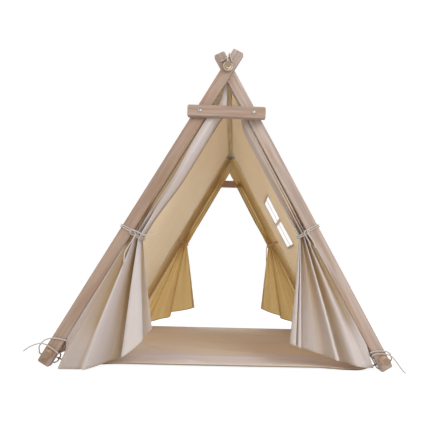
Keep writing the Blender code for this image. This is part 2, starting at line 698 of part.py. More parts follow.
def tie_back_route(side, face_y, tie_s, tails):
    """Two turns round the leg and the bundle, knotted in front; tails says how the ends fall."""
    front = face_y - CORD_LIE
    behind = face_y + BOARD_THICK
    start = tie_s - 0.5 * WRAP_PITCH
    last = start + 2.0 * WRAP_PITCH
    half = 0.5 * BOARD_WIDTH
    turn = [(-0.018, front), (0.000, front), (0.015, front - 0.0004)]
    turn += edge_arc(half, face_y, EDGE_LIE, 75.0, 0.0, 2)
    turn += [(half + EDGE_LIE, 0.5 * (face_y + behind)), (half + EDGE_LIE, behind - 0.001)]
    if behind < -0.52:
        turn += [(0.0235, -0.5180)]
    turn += edge_arc(SEAM_N, -DOOR_Y, EDGE_LIE + 0.0006, 10.0, -80.0, 2)
    turn += [(0.0020, -0.4978), (-0.014, -0.4960), (-0.032, -0.4945), (-0.050, -0.4955),
             (-0.0600, -0.5020), (-0.0625, -0.5150), (-0.0575, min(-0.5280, front + 0.0080))]
    turn += [(-0.0400, min(-0.5330, front + 0.0020))]
    if tails == "open":
        tail = min(front - 0.0060, -0.5480)
        points = [(tie_s + 0.119, -0.0650, tail), (tie_s + 0.096, -0.0500, tail),
                  (tie_s + 0.074, -0.0400, tail), (tie_s + 0.047, -0.0390, tail + 0.001),
                  (tie_s + 0.022, -0.0400, front - 0.0068)]
        ends = [(-0.006, -0.0160, -0.0090), (-0.014, -0.0200, -0.0130), (-0.0175, -0.0380, -0.0135),
                (-0.0185, -0.0580, -0.0090), (-0.0235, -0.0760, -0.0020), (-0.0350, -0.0910, 0.0030),
                (-0.0510, -0.0990, 0.0040)]
    else:
        points = [(tie_s + 0.055, -0.0400, front - 0.0090), (tie_s + 0.038, -0.0360, front - 0.0085),
                  (tie_s + 0.020, -0.0370, front - 0.0075)]
        ends = [(-0.006, -0.0165, -0.0095), (-0.011, -0.0205, -0.0145)]
    if tails == "loop":
        ends += [(-0.004, -0.0260, -0.0165), (0.010, -0.0265, -0.0150), (0.028, -0.0235, -0.0120),
                 (0.044, -0.0235, -0.0105), (0.058, -0.0270, -0.0100)]
    elif tails == "hanging":
        ends += [(-0.014, -0.0360, -0.0135), (-0.008, -0.0530, -0.0110), (0.004, -0.0660, -0.0080),
                 (0.016, -0.0724, -0.0080), (0.046, -0.0884, -0.0080), (0.076, -0.1044, -0.0080)]
    points.append((start + 0.003, -0.0360, front - 0.0070))
    for lap in range(2):
        for index, (n, y) in enumerate(turn):
            points.append((start + WRAP_PITCH * (lap + index / len(turn)), n, y))
    points.append((last, -0.0240, front - 0.0030))
    points += [(last + ds, n, front + dy) for ds, n, dy in ends]
    return [board_point(side, s, n, y) for s, n, y in points]


def foot_tie_route(side, face_y):
    """From a loose end in front of the foot, through the grommet and back round the leg."""
    front = face_y - CORD_LIE
    behind = face_y + BOARD_THICK
    half = 0.5 * BOARD_WIDTH
    rising = [(0.5640, -0.5035, 0.0045), (0.5800, -0.5040, 0.0090)]
    if side < 0:
        first = [(0.640, front - 0.020, 0.052), (0.622, front - 0.016, 0.066),
                 (0.606, front - 0.0125, 0.0730), (0.592, front - 0.0095, 0.0765)]
        lowest = 1.1780
        across = [(0.0250, front - 0.0040), (0.0100, front), (-0.0100, front)]
        rising += [(0.5960, -0.5055, 0.0250), (0.6020, behind - 0.006, 0.040),
                   (0.5990, face_y + 0.003, 0.052), (0.5985, front - 0.0002, 0.0620),
                   (0.5940, front - 0.0006, 0.0730), (0.5850, front, 0.0835), (0.5700, front, 0.0905),
                   (0.5500, front, 0.0925), (0.5280, front - 0.0010, 0.0900),
                   (0.5070, front - 0.0020, 0.0850)]
    else:
        first = [(0.6330, front - 0.0250, 0.0032), (0.6230, front - 0.0220, 0.0130),
                 (0.6120, front - 0.0165, 0.0300), (0.6010, front - 0.0120, 0.0460),
                 (0.5905, front - 0.0080, 0.0560), (0.5790, front - 0.0030, 0.0600),
                 (0.5640, front, 0.0602), (0.5480, front, 0.0598)]
        lowest = 1.1720
        across = []
        rising += [(0.5985, -0.5050, 0.0270), (0.6025, behind - 0.006, 0.0400),
                   (0.5965, face_y + 0.003, 0.0530), (0.5895, front - 0.0006, 0.0630),
                   (0.5790, front - 0.0002, 0.0685), (0.5640, front, 0.0695), (0.5480, front, 0.0690),
                   (0.5330, front - 0.0005, 0.0670), (0.5200, front - 0.0020, 0.0620)]
    leading = [Vector((side * x, y, z)) for x, y, z in first]
    across += edge_arc(-half, face_y, EDGE_LIE, 100.0, 180.0, 2)
    across += [(-half - EDGE_LIE, 0.5 * (face_y + behind)), (-half - EDGE_LIE, behind)]
    for index, (n, y) in enumerate(across):
        leading.append(board_point(side, lowest + 0.0014 * index, n, y))
    eyelet = eyelet_frame(side, -1)[1] + Vector((0.0, 0.0, 0.5 * MAT_THICK))
    slope = Vector((side * math.sin(TAB_ANGLE) * 0.7071, -math.sin(TAB_ANGLE) * 0.7071,
                    -math.cos(TAB_ANGLE)))
    through = [eyelet - slope * 0.009, eyelet, eyelet + slope * 0.0085]
    return leading + through + [Vector((side * x, y, z)) for x, y, z in rising]


def notch_point(n, y):
    """A point in the notch between the crossed tips, n out from the legs' centre lines."""
    return Vector((0.0, y, RIDGE_Z + n / SIN_LEG))


def lashing_route():
    """From the back leg's tip round the pole's end twice, over the notch, under the pole and back."""
    front = FRONT_Y - CORD_LIE
    back = INNER_Y + BOARD_THICK
    half = 0.5 * BOARD_WIDTH
    radius = POLE_RADIUS + CORD_LIE + 0.0011
    tip = [(-0.0330, -0.5337, 1.1330), (-0.0245, -0.5339, 1.1366), (-0.0175, -0.5352, 1.1398),
           (-0.0115, -0.5430, 1.1424), (-0.0080, -0.5497, 1.1416), (-0.0062, -0.5530, 1.1386),
           (-0.0045, -0.5540, 1.1335), (-0.0005, -0.5537, 1.1265), (0.0035, -0.5535, 1.1200)]
    points = [Vector(p) for p in tip]
    turns = 20
    for k in range(turns + 1):
        angle = math.radians(68.0 - 688.0 * k / turns)
        y = front - 0.0006 - 0.0112 * k / turns
        points.append(Vector((radius * math.cos(angle), y, RIDGE_Z + radius * math.sin(angle))))
    points += [Vector((-0.0034, front - 0.0105, 1.1245)), Vector((-0.0028, front - 0.0075, 1.1330)),
               Vector((-0.0013, front - 0.0030, 1.1410))]
    points += [notch_point(n, y) for n, y in edge_arc(half, FRONT_Y, EDGE_LIE, 90.0, 0.0, 2)]
    points.append(notch_point(half + CORD_LIE + 0.0004, INNER_Y))
    points += [notch_point(n, y) for n, y in edge_arc(half, back, EDGE_LIE, 0.0, -90.0, 2)]
    behind = back + CORD_LIE + 0.0004
    points += [Vector((-0.0055, behind, 1.1340)), Vector((-0.0115, behind, 1.1200))]
    for angle in (150.0, 180.0, 210.0, 240.0, 270.0, 300.0, 330.0, 360.0, 390.0):
        turn = math.radians(angle)
        points.append(Vector((radius * math.cos(turn), behind, RIDGE_Z + radius * math.sin(turn))))
    over = [(0.0120, behind, 1.1200), (0.0080, behind + 0.0003, 1.1370), (0.0062, behind + 0.0008, 1.1500),
            (0.0045, behind - 0.0008, 1.1570), (0.0034, back - 0.0035, 1.1606), (0.0032, -0.5200, 1.1608),
            (0.0032, -0.5400, 1.1608), (0.0036, -0.5510, 1.1598), (0.0046, -0.5552, 1.1550),
            (0.0062, -0.5562, 1.1480), (0.0082, -0.5553, 1.1400), (0.0118, -0.5542, 1.1290),
            (0.0160, -0.5538, 1.1185)]
    return points + [Vector(p) for p in over]


def make_cords():
    """The tie-backs, the foot ties and the ridge lashings."""
    for name, door in DOORS.items():
        face_y = FRONT_Y if door["side"] < 0 else INNER_Y
        route = tie_back_route(door["side"], face_y, door["tie_s"], door["tails"])
        make_cord(name.replace("door", "tie_back"), door["end"], route)
    for name, (end, side, face_y) in LEGS.items():
        make_cord(name.replace("leg", "foot_tie"), end, foot_tie_route(side, face_y))
    for end in TURN:
        make_cord(end + "_ridge_lashing", end, lashing_route())


# What turns with the right frame about the ridge, and what turns with each crossbar
RIGHT_FRAME = ("front_right_leg", "rear_right_leg", "right_base_rail", "right_wall", "window_straps",
               "front_right_door", "rear_right_door", "front_right_tie_back", "rear_right_tie_back",
               "front_right_foot_tie", "rear_right_foot_tie", "front_right_grommet",
               "rear_right_grommet", "front_release_barrel", "rear_pivot_bolt", "rear_pivot_nut")


def parent_to_axis(name, point, members):
    """Hang the members on an empty that stands on their joint's axis."""
    axis = bpy.data.objects.new(name, None)
    axis.empty_display_size = 0.08
    TENT.objects.link(axis)
    axis.location = point
    bpy.context.view_layer.update()
    for member in members:
        obj = bpy.data.objects[member]
        world = obj.matrix_world.copy()
        obj.parent = axis
        obj.matrix_parent_inverse = axis.matrix_world.inverted()
        obj.matrix_world = world
    return axis


def make_joint_axes():
    parent_to_axis("fold_axis", (0.0, 0.0, RIDGE_Z), RIGHT_FRAME)
    for end in TURN:
        pivot = TURN[end] @ board_point(-1, BOLT_S, 0.0, FRONT_Y)
        members = [end + "_crossbar", end + "_spacer", end + "_release_bolt"]
        axis = parent_to_axis(end + "_crossbar_axis", pivot, members)
        if end == "rear":
            axis.parent = bpy.data.objects["fold_axis"]
            axis.matrix_parent_inverse = bpy.data.objects["fold_axis"].matrix_world.inverted()


clear_scene()
TENT = new_collection("play_tent")
CUTTERS = new_collection("cutters")
make_legs()
make_poles()
make_crossbars()
make_walls()
make_window()
make_doors()
make_mat()
make_cords()
make_joint_axes()
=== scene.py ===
"""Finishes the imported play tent: canvas, cords, wood and metal, a plain stage and a camera."""
from itertools import accumulate
from math import atan2, cos, exp, hypot, pi, radians, sin
import bmesh
import bpy
from bpy.props import FloatProperty, FloatVectorProperty, PointerProperty
from bpy.types import Operator, Panel, PropertyGroup
from mathutils import Matrix, Vector, noise


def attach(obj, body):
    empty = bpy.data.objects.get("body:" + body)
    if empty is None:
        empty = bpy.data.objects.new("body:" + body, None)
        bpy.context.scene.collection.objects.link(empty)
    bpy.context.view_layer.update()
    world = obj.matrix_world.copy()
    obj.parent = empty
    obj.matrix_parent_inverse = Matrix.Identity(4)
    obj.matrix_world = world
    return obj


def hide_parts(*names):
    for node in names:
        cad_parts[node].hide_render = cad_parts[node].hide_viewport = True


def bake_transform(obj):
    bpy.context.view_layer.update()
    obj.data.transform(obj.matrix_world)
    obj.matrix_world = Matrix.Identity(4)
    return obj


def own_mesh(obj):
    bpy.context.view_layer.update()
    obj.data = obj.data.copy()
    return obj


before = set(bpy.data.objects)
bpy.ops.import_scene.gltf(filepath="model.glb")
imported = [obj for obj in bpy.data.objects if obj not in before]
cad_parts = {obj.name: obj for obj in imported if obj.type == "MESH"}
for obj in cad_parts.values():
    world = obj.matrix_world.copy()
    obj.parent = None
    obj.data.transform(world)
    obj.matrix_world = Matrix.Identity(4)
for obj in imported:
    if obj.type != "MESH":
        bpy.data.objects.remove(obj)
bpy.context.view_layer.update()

bl_info = {
    "name": "Play Tent Finish",
    "version": (1, 0, 0),
    "blender": (4, 5, 0),
    "location": "View3D > Sidebar > Play Tent",
    "description": "Canvas, cords, wood and metal finishes for a child's A-frame play tent",
    "category": "Object",
}

# The frame's own sizes, in metres, as the CAD has them
RIDGE_Z = 1.1
RAIL_X = 0.564
RAIL_Z = 0.043
BOARD_WIDTH = 0.044
BOARD_THICK = 0.02
FRONT_Y = -0.55
INNER_Y = -0.5297
BAR_MIDDLE = 0.5603
POLE_RADIUS = 0.0125
CLOTH = 0.0012
WALL_SKIN = 0.0137
WALL_HALF_DEPTH = 0.495
SLEEVE_LENGTH = 0.07
SLEEVE_TURN = 201.5
HEM_LENGTH = 0.012
WINDOW_S = (0.43, 0.705)
WINDOW_Y = (0.01, 0.235)
WINDOW_NEAR_X = 0.15
STRAP_WIDTH = 0.018
MULLION_WIDTH = 0.012
TAPE_WIDTH = 0.014
DOOR_Y = 0.5022
SEAM_N = 0.0125
DOOR_TOP_S = 0.035
SEAM_END_S = 1.122
BUNDLE_OUT = 0.024
BUNDLE_WIDTH = 0.0325
PINCH_HALF = 0.01
MAT_HALF_WIDTH = 0.566
MAT_HALF_DEPTH = 0.5095
MAT_THICK = 0.0025
TAB_LENGTH = 0.056
TAB_ANGLE = radians(28.0)
TAB_FOLDS = 3
TAB_STEP = 0.008
GROMMET_INSET = 0.0155
CORD_RADIUS = 0.0025
CORD_LIE = CORD_RADIUS + 0.0004
EDGE_LIE = CORD_LIE + 0.0008
WRAP_PITCH = 0.0064
LASHING_RISE = 0.0112
CORD_STEP = 0.0019
FINE_STEPS = 16
STRAND_POINTS = 21
PATH_STEP = 0.008
FLOOR_HALF = 14.0
LIT_POINT = (0.0, 0.0, 0.45)
THREAD_PITCH = 0.0013
STITCH_PITCH = 0.0042
STITCH_INSET = 0.0125

LEG_ANGLE = atan2(RAIL_X, RIDGE_Z - RAIL_Z)
SIN_LEG = sin(LEG_ANGLE)
COS_LEG = cos(LEG_ANGLE)
LEG_SPAN = hypot(RAIL_X, RIDGE_Z - RAIL_Z)
REAR = Matrix.Rotation(pi, 4, "Z")
TURN = {"front": Matrix.Identity(4), "rear": REAR}
BODY = {"left": "left_frame", "right": "right_frame"}


def board_point(side, s, n, y):
    """A point s down a leg from the ridge axis, n outwards from its centre line, at depth y."""
    x = side * (s * SIN_LEG + n * COS_LEG)
    return Vector((x, y, RIDGE_Z - s * COS_LEG + n * SIN_LEG))


def round_ridge(radius, angle, y):
    """A point round the ridge's axis, at an angle from the right upwards."""
    return radius * cos(angle), y, RIDGE_Z + radius * sin(angle)


def walked(points):
    """How far along a line of points each one lies."""
    return [0.0, *accumulate((q - p).length for p, q in zip(points, points[1:]))]


APEX = board_point(1, 0.0, 0.0, 0.0)
RIGHT_SLOPE = board_point(1, 1.0, 0.0, 0.0) - APEX


def lerp(a, b, t):
    return a + (b - a) * t


def ease(low, high, value):
    """A smooth rise from 0 at low to 1 at high."""
    t = min(1.0, max(0.0, (value - low) / (high - low)))
    return t * t * (3.0 - 2.0 * t)


def ripple(x, y, seed, scale):
    """Smooth noise from -1 to 1 at a point of a cloth, given its scale in waves a metre."""
    return noise.noise(Vector((x * scale, y * scale, seed)))


# Finishes


class Value:
    """One output of a material's nodes, on which plain arithmetic works."""

    def __init__(self, finish, socket):
        self.finish = finish
        self.socket = socket

    def operation(name, swapped=False):
        """A method that adds the Math node of this name."""
        def method(self, *others):
            terms = (*others, self) if swapped else (self, *others)
            node = self.finish.node("ShaderNodeMath", {"operation": name}, dict(enumerate(terms)))
            return self.finish.output(node)
        return method

    __add__ = __radd__ = operation("ADD")
    __mul__ = __rmul__ = operation("MULTIPLY")
    __sub__ = operation("SUBTRACT")
    __rsub__ = operation("SUBTRACT", swapped=True)
    __lt__ = operation("LESS_THAN")
    sine = operation("SINE")
    fraction = operation("FRACT")
    size = operation("ABSOLUTE")


class Finish:
    """A material or a world under construction, with one method that adds any node."""

    def __init__(self, name, kind="materials"):
        self.material = getattr(bpy.data, kind).new(name)
        self.material.use_nodes = True
        self.tree = self.material.node_tree
        self.shader = self.tree.nodes.get("Principled BSDF")

    def node(self, kind, settings=None, inputs=None):
        """Add a node of a kind: its settings first, then the values or links of its sockets."""
        node = self.tree.nodes.new(kind)
        for key, value in (settings or {}).items():
            setattr(node, key, value)
        for key, value in (inputs or {}).items():
            self.plug(node.inputs[key], value)
        return node

    def plug(self, socket, value):
        """Link a value to a socket, or write a number or a colour into it."""
        if isinstance(value, Value):
            self.tree.links.new(value.socket, socket)
        elif hasattr(socket.default_value, "__len__") and hasattr(value, "__len__"):
            missing = len(socket.default_value) - len(value)
            socket.default_value = (*value, *[1.0] * missing)
        else:
            socket.default_value = value

    def output(self, node, name=0):
        return Value(self, node.outputs[name])

    def coordinates(self, turn=(0.0, 0.0, 0.0), stretch=(1.0, 1.0, 1.0), source="Object"):
        """The piece's own coordinates, turned and then stretched."""
        where = self.output(self.node("ShaderNodeTexCoord"), source)
        if any(turn):
            node = self.node("ShaderNodeMapping", {}, {"Vector": where, "Rotation": turn})
            where = self.output(node)
        return self.output(self.node("ShaderNodeMapping", {}, {"Vector": where, "Scale": stretch}))

    def split(self, where, axes):
        """Some of the coordinates of a place, each as a number."""
        node = self.node("ShaderNodeSeparateXYZ", {}, {"Vector": where})
        return [self.output(node, axis) for axis in axes]

    def noise(self, where, scale, detail=3.0, roughness=0.55):
        inputs = {"Vector": where, "Scale": scale, "Detail": detail, "Roughness": roughness}
        return self.output(self.node("ShaderNodeTexNoise", {}, inputs), "Fac")

    def attribute(self, name):
        return self.output(self.node("ShaderNodeAttribute", {"attribute_name": name}), "Fac")

    def mix(self, factor, first, second, blend="MIX"):
        node = self.node("ShaderNodeMix", {"data_type": "RGBA", "blend_type": blend},
                         {0: factor, 6: first, 7: second})
        return self.output(node, 2)

    def ramp(self, factor, low, high):
        """A number drawn out so that low becomes 0 and high becomes 1."""
        inputs = {"Value": factor, "From Min": low, "From Max": high}
        return self.output(self.node("ShaderNodeMapRange", {}, inputs))

    def bump(self, height, distance):
        node = self.node("ShaderNodeBump", {}, {"Height": height, "Distance": distance})
        self.finish(normal=self.output(node))

    def blend_shaders(self, factor, first, second, output):
        """Lead two shaders, mixed by a factor, to the output node."""
        shaders = {0: factor, 1: self.output(first), 2: self.output(second)}
        mix = self.node("ShaderNodeMixShader", {}, shaders)
        self.plug(self.tree.nodes[output].inputs["Surface"], self.output(mix))

    def finish(self, **sockets):
        """Set the shader's own sockets, whose names are written with underscores here."""
        for name, value in sockets.items():
            label = name.replace("_", " ").title().replace("Ior", "IOR")
            self.plug(self.shader.inputs[label], value)
        return self.material


def tint(colour, factor):
    """A colour made lighter or darker, but never brighter than white."""
    return tuple(min(1.0, channel * factor) for channel in colour)


def toned(colour, *factors):
    """A colour times one factor for each of its channels."""
    return tuple(channel * factor for channel, factor in zip(colour, factors))


def wood_finish(name, colour, turn, seed, reach=None, ends_colour=None, glow=None, painted_light_and_shade=()):
    """Planed pale wood with its grain along the Z of its own turned coordinates, end grain
    beyond a reach from the middle, painted light and shade that each come in between two heights
    along it, and a painted glow of warm light on its side towards the middle of the tent."""
    f = Finish(name)
    depth, height = f.split(f.coordinates(turn), "YZ")

    def grain(across, along, scale=1.0, detail=3.0, roughness=0.5):
        return f.noise(f.coordinates(turn, (across, across, along)), scale, detail, roughness)

    rings = grain(55.0, 2.2, 1.0 + 0.07 * seed, 4.0, 0.6)
    fibres = grain(620.0, 16.0, 1.0, 2.0, 0.6)
    patches = grain(46.0, 4.0, 1.0 + 0.05 * seed)
    washes = grain(52.0, 3.1, 1.0 + 0.09 * seed)
    base = f.mix(f.ramp(rings, 0.34, 0.68), tint(colour, 1.26), tint(colour, 0.76))
    base = f.mix(f.ramp(patches, 0.42, 0.64) * 0.8, base, toned(colour, 0.9, 0.74, 0.6))
    base = f.mix(f.ramp(washes, 0.46, 0.66) * 0.8, base, toned(colour, 1.24, 1.34, 1.46))
    base = f.mix(f.ramp(fibres, 0.5, 0.78) * 0.4, base, tint(colour, 0.62))
    # Painted light and shade, each between two heights along the piece
    for low, high, tone in painted_light_and_shade:
        base = f.mix(f.ramp(height, low, high), base, tone, blend="MULTIPLY")
    # Painted glow: warm light painted on the side towards the middle of the tent
    if glow:
        base = f.mix(f.ramp(depth, BAR_MIDDLE, BAR_MIDDLE - 0.004), base, glow)
    if reach:
        ends = f.ramp(height.size(), reach - 0.0045, reach - 0.0015)
        circles = grain(160.0, 1.0, roughness=0.55)
        base = f.mix(ends, base, f.mix(circles, tint(ends_colour, 1.1), tint(ends_colour, 0.7)))
    f.bump(fibres * 0.6 + rings * 0.5, 0.00022)
    rough = f.ramp(rings, 0.2, 0.9) * 0.16 + 0.52
    return f.finish(base_color=base, roughness=rough, specular_ior_level=0.32)


def canvas_finish(name, colour, shade, weave=1.0, through=0.0, inner=False, dusk=None, rim=0.0,
                  bright=None):
    """Plain-woven cotton canvas: threads, slubs, soft blotches and the stitching of its hems.

    Painted shade turns the troughs of its folds to the dusk colour and then to the shade colour; on
    the mat a painted highlight turns its crests, front and back to the colour given as shade;
    beyond full shade painted light turns it to the bright colour. A rim is the width of an edge
    darkened with painted shade, through the share of light that comes through.
    """
    f = Finish(name)
    thread = 2.0 * pi / THREAD_PITCH
    across, along = f.split(f.coordinates(source="UV"), "XY")
    weft = (across * thread).sine() * (along * (0.5 * thread)).sine()
    warp = (along * thread).sine() * (across * (0.5 * thread)).sine()
    slubs = [f.noise(f.coordinates(stretch=stretch, source="UV"), 1.0, 2.0)
             for stretch in ((14.0, 700.0, 1.0), (700.0, 14.0, 1.0))]
    blotches = f.noise(f.coordinates(), 7.0)
    base = f.mix(f.ramp(blotches, 0.35, 0.68), tint(colour, 1.012), tint(colour, 0.975))
    for slub in slubs:
        base = f.mix(f.ramp(slub, 0.55, 0.8) * 0.22, base, tint(colour, 0.86))
    # How much painted shade the cloth takes in the troughs of its folds, or on the mat how much
    # painted highlight
    painted_amount = f.attribute("valley")
    if dusk:
        base = f.mix(f.ramp(painted_amount, 0.0, 0.5), base, dusk)
        base = f.mix(f.ramp(painted_amount, 0.5, 1.0), base, shade)
    else:
        base = f.mix(1.0 - painted_amount if inner else painted_amount, base, shade)
    # Painted light beyond full shade: the bright colour, where a leg behind the cloth keeps out the
    # light that comes through
    if bright:
        base = f.mix(f.ramp(painted_amount, 1.0, 2.0), base, bright)
    hem = f.attribute("from_hem")
    dash = (f.attribute("along_hem") * (1.0 / STITCH_PITCH)).fraction() < 0.68
    # A rim of painted shade along the edge
    if rim:
        base = f.mix((hem < rim) * 0.85, base, tint(colour, 0.25))
    stitch = ((hem - STITCH_INSET).size() < 0.00055) * dash
    base = f.mix(stitch * 0.55, base, tint(colour, 0.74))
    rise = (weft + warp) * (0.22 * weave) + (slubs[0] + slubs[1]) * 0.5 - stitch * 0.9
    f.bump(rise, 0.00016)
    return f.finish(base_color=base, roughness=0.93, specular_ior_level=0.1, sheen_weight=0.03,
                    sheen_roughness=0.5, subsurface_weight=through, subsurface_scale=0.02,
                    subsurface_radius=(1.0, 0.75, 0.45))


def cord_finish(name, colour):
    """Soft cotton cord, a little fluffy and patchy."""
    f = Finish(name)
    fluff = f.noise(f.coordinates(stretch=(900.0, 900.0, 900.0)), 1.0, 2.0)
    patches = f.noise(f.coordinates(), 60.0, 2.0)
    base = f.mix(f.ramp(fluff, 0.35, 0.75), tint(colour, 1.05), tint(colour, 0.84))
    base = f.mix(f.ramp(patches, 0.4, 0.75) * 0.4, base, tint(colour, 0.88))
    f.bump(fluff, 0.0003)
    return f.finish(base_color=base, roughness=0.95, specular_ior_level=0.15, sheen_weight=0.15)


def metal_finish(name, colour, roughness):
    """Bare metal with slight wear."""
    f = Finish(name)
    wear = f.noise(f.coordinates(), 420.0, 3.0)
    base = f.mix(f.ramp(wear, 0.35, 0.7), tint(colour, 1.0), tint(colour, 0.82))
    f.bump(wear, 0.00005)
    rough = f.ramp(wear, 0.2, 0.8) * 0.12 + roughness
    return f.finish(base_color=base, roughness=rough, metallic=1.0)


# How painted light and shade, for how the light falls on them, change the light wood of the front
# legs along them: where a tone starts, where it is full
LEG_PAINTED_LIGHT_AND_SHADE = {
    "front_left_leg": ((0.72, 0.5, (0.9, 0.87, 0.83)), (0.955, 0.985, (1.08, 1.16, 1.27))),
    "front_right_leg": ((0.955, 0.985, (0.79, 0.77, 0.76)),),
}


def dress_node(name, material):
    """Give a CAD node a better material in the place of its own."""
    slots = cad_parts[name].material_slots
    for slot in slots:
        slot.material = material
    if not slots:
        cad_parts[name].data.materials.append(material)


# Cloth and cord pieces


def place(name, data):
    """A new object of some data, in the scene."""
    item = bpy.data.objects.new(name, data)
    bpy.context.scene.collection.objects.link(item)
    return item


def new_piece(name, bm, materials):
    """A finished mesh at the origin, shaded smooth, with its materials."""
    mesh = bpy.data.meshes.new(name)
    bm.to_mesh(mesh)
    bm.free()
    mesh.shade_smooth()
    piece = place(name, mesh)
    for material in materials:
        mesh.materials.append(material)
    return piece


def thicken(piece, thickness, offset, inside_slot=0):
    """Give a sheet its thickness, with the far side in its own material."""
    solid = piece.modifiers.new("thickness", "SOLIDIFY")
    solid.thickness = thickness
    solid.offset = offset
    solid.material_offset = inside_slot
    graph = bpy.context.evaluated_depsgraph_get()
    graph.update()
    mesh = bpy.data.meshes.new_from_object(piece.evaluated_get(graph),
                                           preserve_all_data_layers=True, depsgraph=graph)
    old = piece.data
    piece.modifiers.clear()
    piece.data = mesh
    bpy.data.meshes.remove(old)
    mesh.name = piece.name


def cloth_grid(columns, rows, shape):
    """A grid over the unit square, put in place by shape(a, b), which returns the point, its place
    on the flat cloth, its distance from the nearest hem and along it, and its painted shade or
    light."""
    bm = bmesh.new()
    bmesh.ops.create_grid(bm, x_segments=columns, y_segments=rows, size=0.5)
    layer = bm.loops.layers.uv.new("UVMap")
    keys = ("from_hem", "along_hem", "valley")
    facts = [bm.verts.layers.float.new(key) for key in keys]
    flat = {}
    for vert in bm.verts:
        point, spread, values = shape(vert.co.x + 0.5, vert.co.y + 0.5)
        flat[vert] = spread
        for fact, value in zip(facts, values):
            vert[fact] = value
        vert.co = point
    for face in bm.faces:
        for loop in face.loops:
            loop[layer].uv = flat[loop.vert]
    return bm


def canopy_route():
    """The canopy's section from seam to seam, over both sleeves, both walls and the ridge."""
    seam = LEG_SPAN - SLEEVE_LENGTH
    inner = WALL_SKIN - CLOTH - 0.0003
    route = [(seam - HEM_LENGTH, inner), (seam, inner), (seam + 0.006, inner - 0.001)]
    route += [(LEG_SPAN + WALL_SKIN * sin(a), WALL_SKIN * cos(a))
              for a in (radians(SLEEVE_TURN * (1.0 - k / 10.0)) for k in range(11))]
    count = 96
    route += [(LEG_SPAN * (1.0 - (k + 1) / count), WALL_SKIN) for k in range(count)]
    left = [board_point(-1, s, n, 0.0) for s, n in route]
    cap = [Vector(round_ridge(WALL_SKIN, lerp(pi - LEG_ANGLE, LEG_ANGLE, k / 8.0), 0.0))
           for k in range(1, 8)]
    right = [board_point(1, s, n, 0.0) for s, n in reversed(route)]
    return left + cap + right


def wall_sag(s, y):
    """How far the stretched cloth hangs in, with soft wrinkles that run down and across it."""
    sizes = bpy.context.scene.tent_sizes
    down = min(1.0, max(0.0, s / LEG_SPAN))
    span = sin(pi * down) ** 0.8
    ends = 1.0 - (abs(y) / WALL_HALF_DEPTH) ** 4
    sag = sizes.wall_sag * span * ends
    soft = 0.0022 * ripple(0.55 * s, y, 4.2, 5.0) + 0.0011 * ripple(s, 0.5 * y, 9.1, 13.0)
    pull = 0.0014 * sin(19.0 * y + 5.0 * s) * ease(0.75, 1.1, s)
    pull += 0.0012 * sin(23.0 * y - 4.0 * s) * ease(0.3, 0.05, s)
    return sag + (soft + pull) * ease(0.0, 0.12, span)


def cut_window(bm, strap, mullion):
    """Cut the window out of the right wall, but for a strap across it and a mullion down it."""
    spans = []
    for (low, high), width in ((WINDOW_S, strap), (WINDOW_Y, mullion)):
        middle = 0.5 * (low + high)
        bar = (middle - 0.5 * width, middle + 0.5 * width) if width else ()
        spans.append((low, *bar, high))
    planes = [(board_point(1, s, 0.0, 0.0), RIGHT_SLOPE) for s in spans[0]]
    planes += [((0.0, y, 0.0), (0.0, 1.0, 0.0)) for y in spans[1]]
    for point, normal in planes:
        near = [face for face in bm.faces if face.calc_center_median().x > WINDOW_NEAR_X]
        parts = dict.fromkeys(part for face in near for part in (*face.verts, *face.edges))
        bmesh.ops.bisect_plane(bm, geom=[*parts, *near], plane_co=point, plane_no=normal,
                               dist=0.0002)
    panes = []
    for face in bm.faces:
        at = face.calc_center_median()
        inside = [any(low < value < high for low, high in zip(span[::2], span[1::2]))
                  for value, span in zip(((at - APEX).dot(RIGHT_SLOPE), at.y), spans)]
        if at.x > WINDOW_NEAR_X and all(inside):
            panes.append(face)
    bmesh.ops.delete(bm, geom=panes, context="FACES")
    bmesh.ops.recalc_face_normals(bm, faces=bm.faces)


def canopy_bmesh():
    """The whole canopy as one sheet, with its sag and the window cut out of its right side."""
    section = canopy_route()
    lengths = walked(section)
    rows = len(section) - 1
    columns = 84

    def shape(a, b):
        index = int(round(b * rows))
        y = lerp(-WALL_HALF_DEPTH, WALL_HALF_DEPTH, a)
        point = section[index].copy()
        side = -1 if point.x < 0.0 else 1
        s = abs(point.x) * SIN_LEG + (RIDGE_Z - point.z) * COS_LEG
        n = abs(point.x) * COS_LEG - (RIDGE_Z - point.z) * SIN_LEG
        if 0.0 < s < LEG_SPAN and n > 0.5 * WALL_SKIN:
            hang = wall_sag(s, y) * (1.0 if n > WALL_SKIN - 0.0003 else ease(1.02, 1.1, s))
            point = board_point(side, s, n - hang, 0.0)
        point.y = y
        sides = WALL_HALF_DEPTH - abs(y)
        hem = min(sides, lengths[index] + 0.0005, lengths[-1] - lengths[index] + 0.0005)
        run = lengths[index] if sides <= hem + 1e-6 else y + 1.0
        return point, (y, lengths[index]), (hem, run, 0.0)

    bm = cloth_grid(columns, rows, shape)
    layer = bm.loops.layers.uv.active
    for face in bm.faces:
        reach = face.loops[0][layer].uv.y
        if min(reach, lengths[-1] - reach) < SLEEVE_LENGTH + HEM_LENGTH - 0.002:
            face.material_index = 1
    cut_window(bm, 0.0, 0.0)
    return bm, lengths[-1]


def window_bmesh(offset):
    """The tape round the window and its crossing straps, lying on the sagging wall."""
    low_s, high_s = WINDOW_S[0] - TAPE_WIDTH, WINDOW_S[1] + TAPE_WIDTH
    low_y, high_y = WINDOW_Y[0] - TAPE_WIDTH, WINDOW_Y[1] + TAPE_WIDTH

    def shape(a, b):
        s = lerp(low_s, high_s, b)
        y = lerp(low_y, high_y, a)
        point = board_point(1, s, WALL_SKIN + offset - wall_sag(s, y), y)
        return point, (y, s), (0.02, 0.0, 0.0)

    bm = cloth_grid(12, 12, shape)
    cut_window(bm, STRAP_WIDTH, MULLION_WIDTH)
    return bm


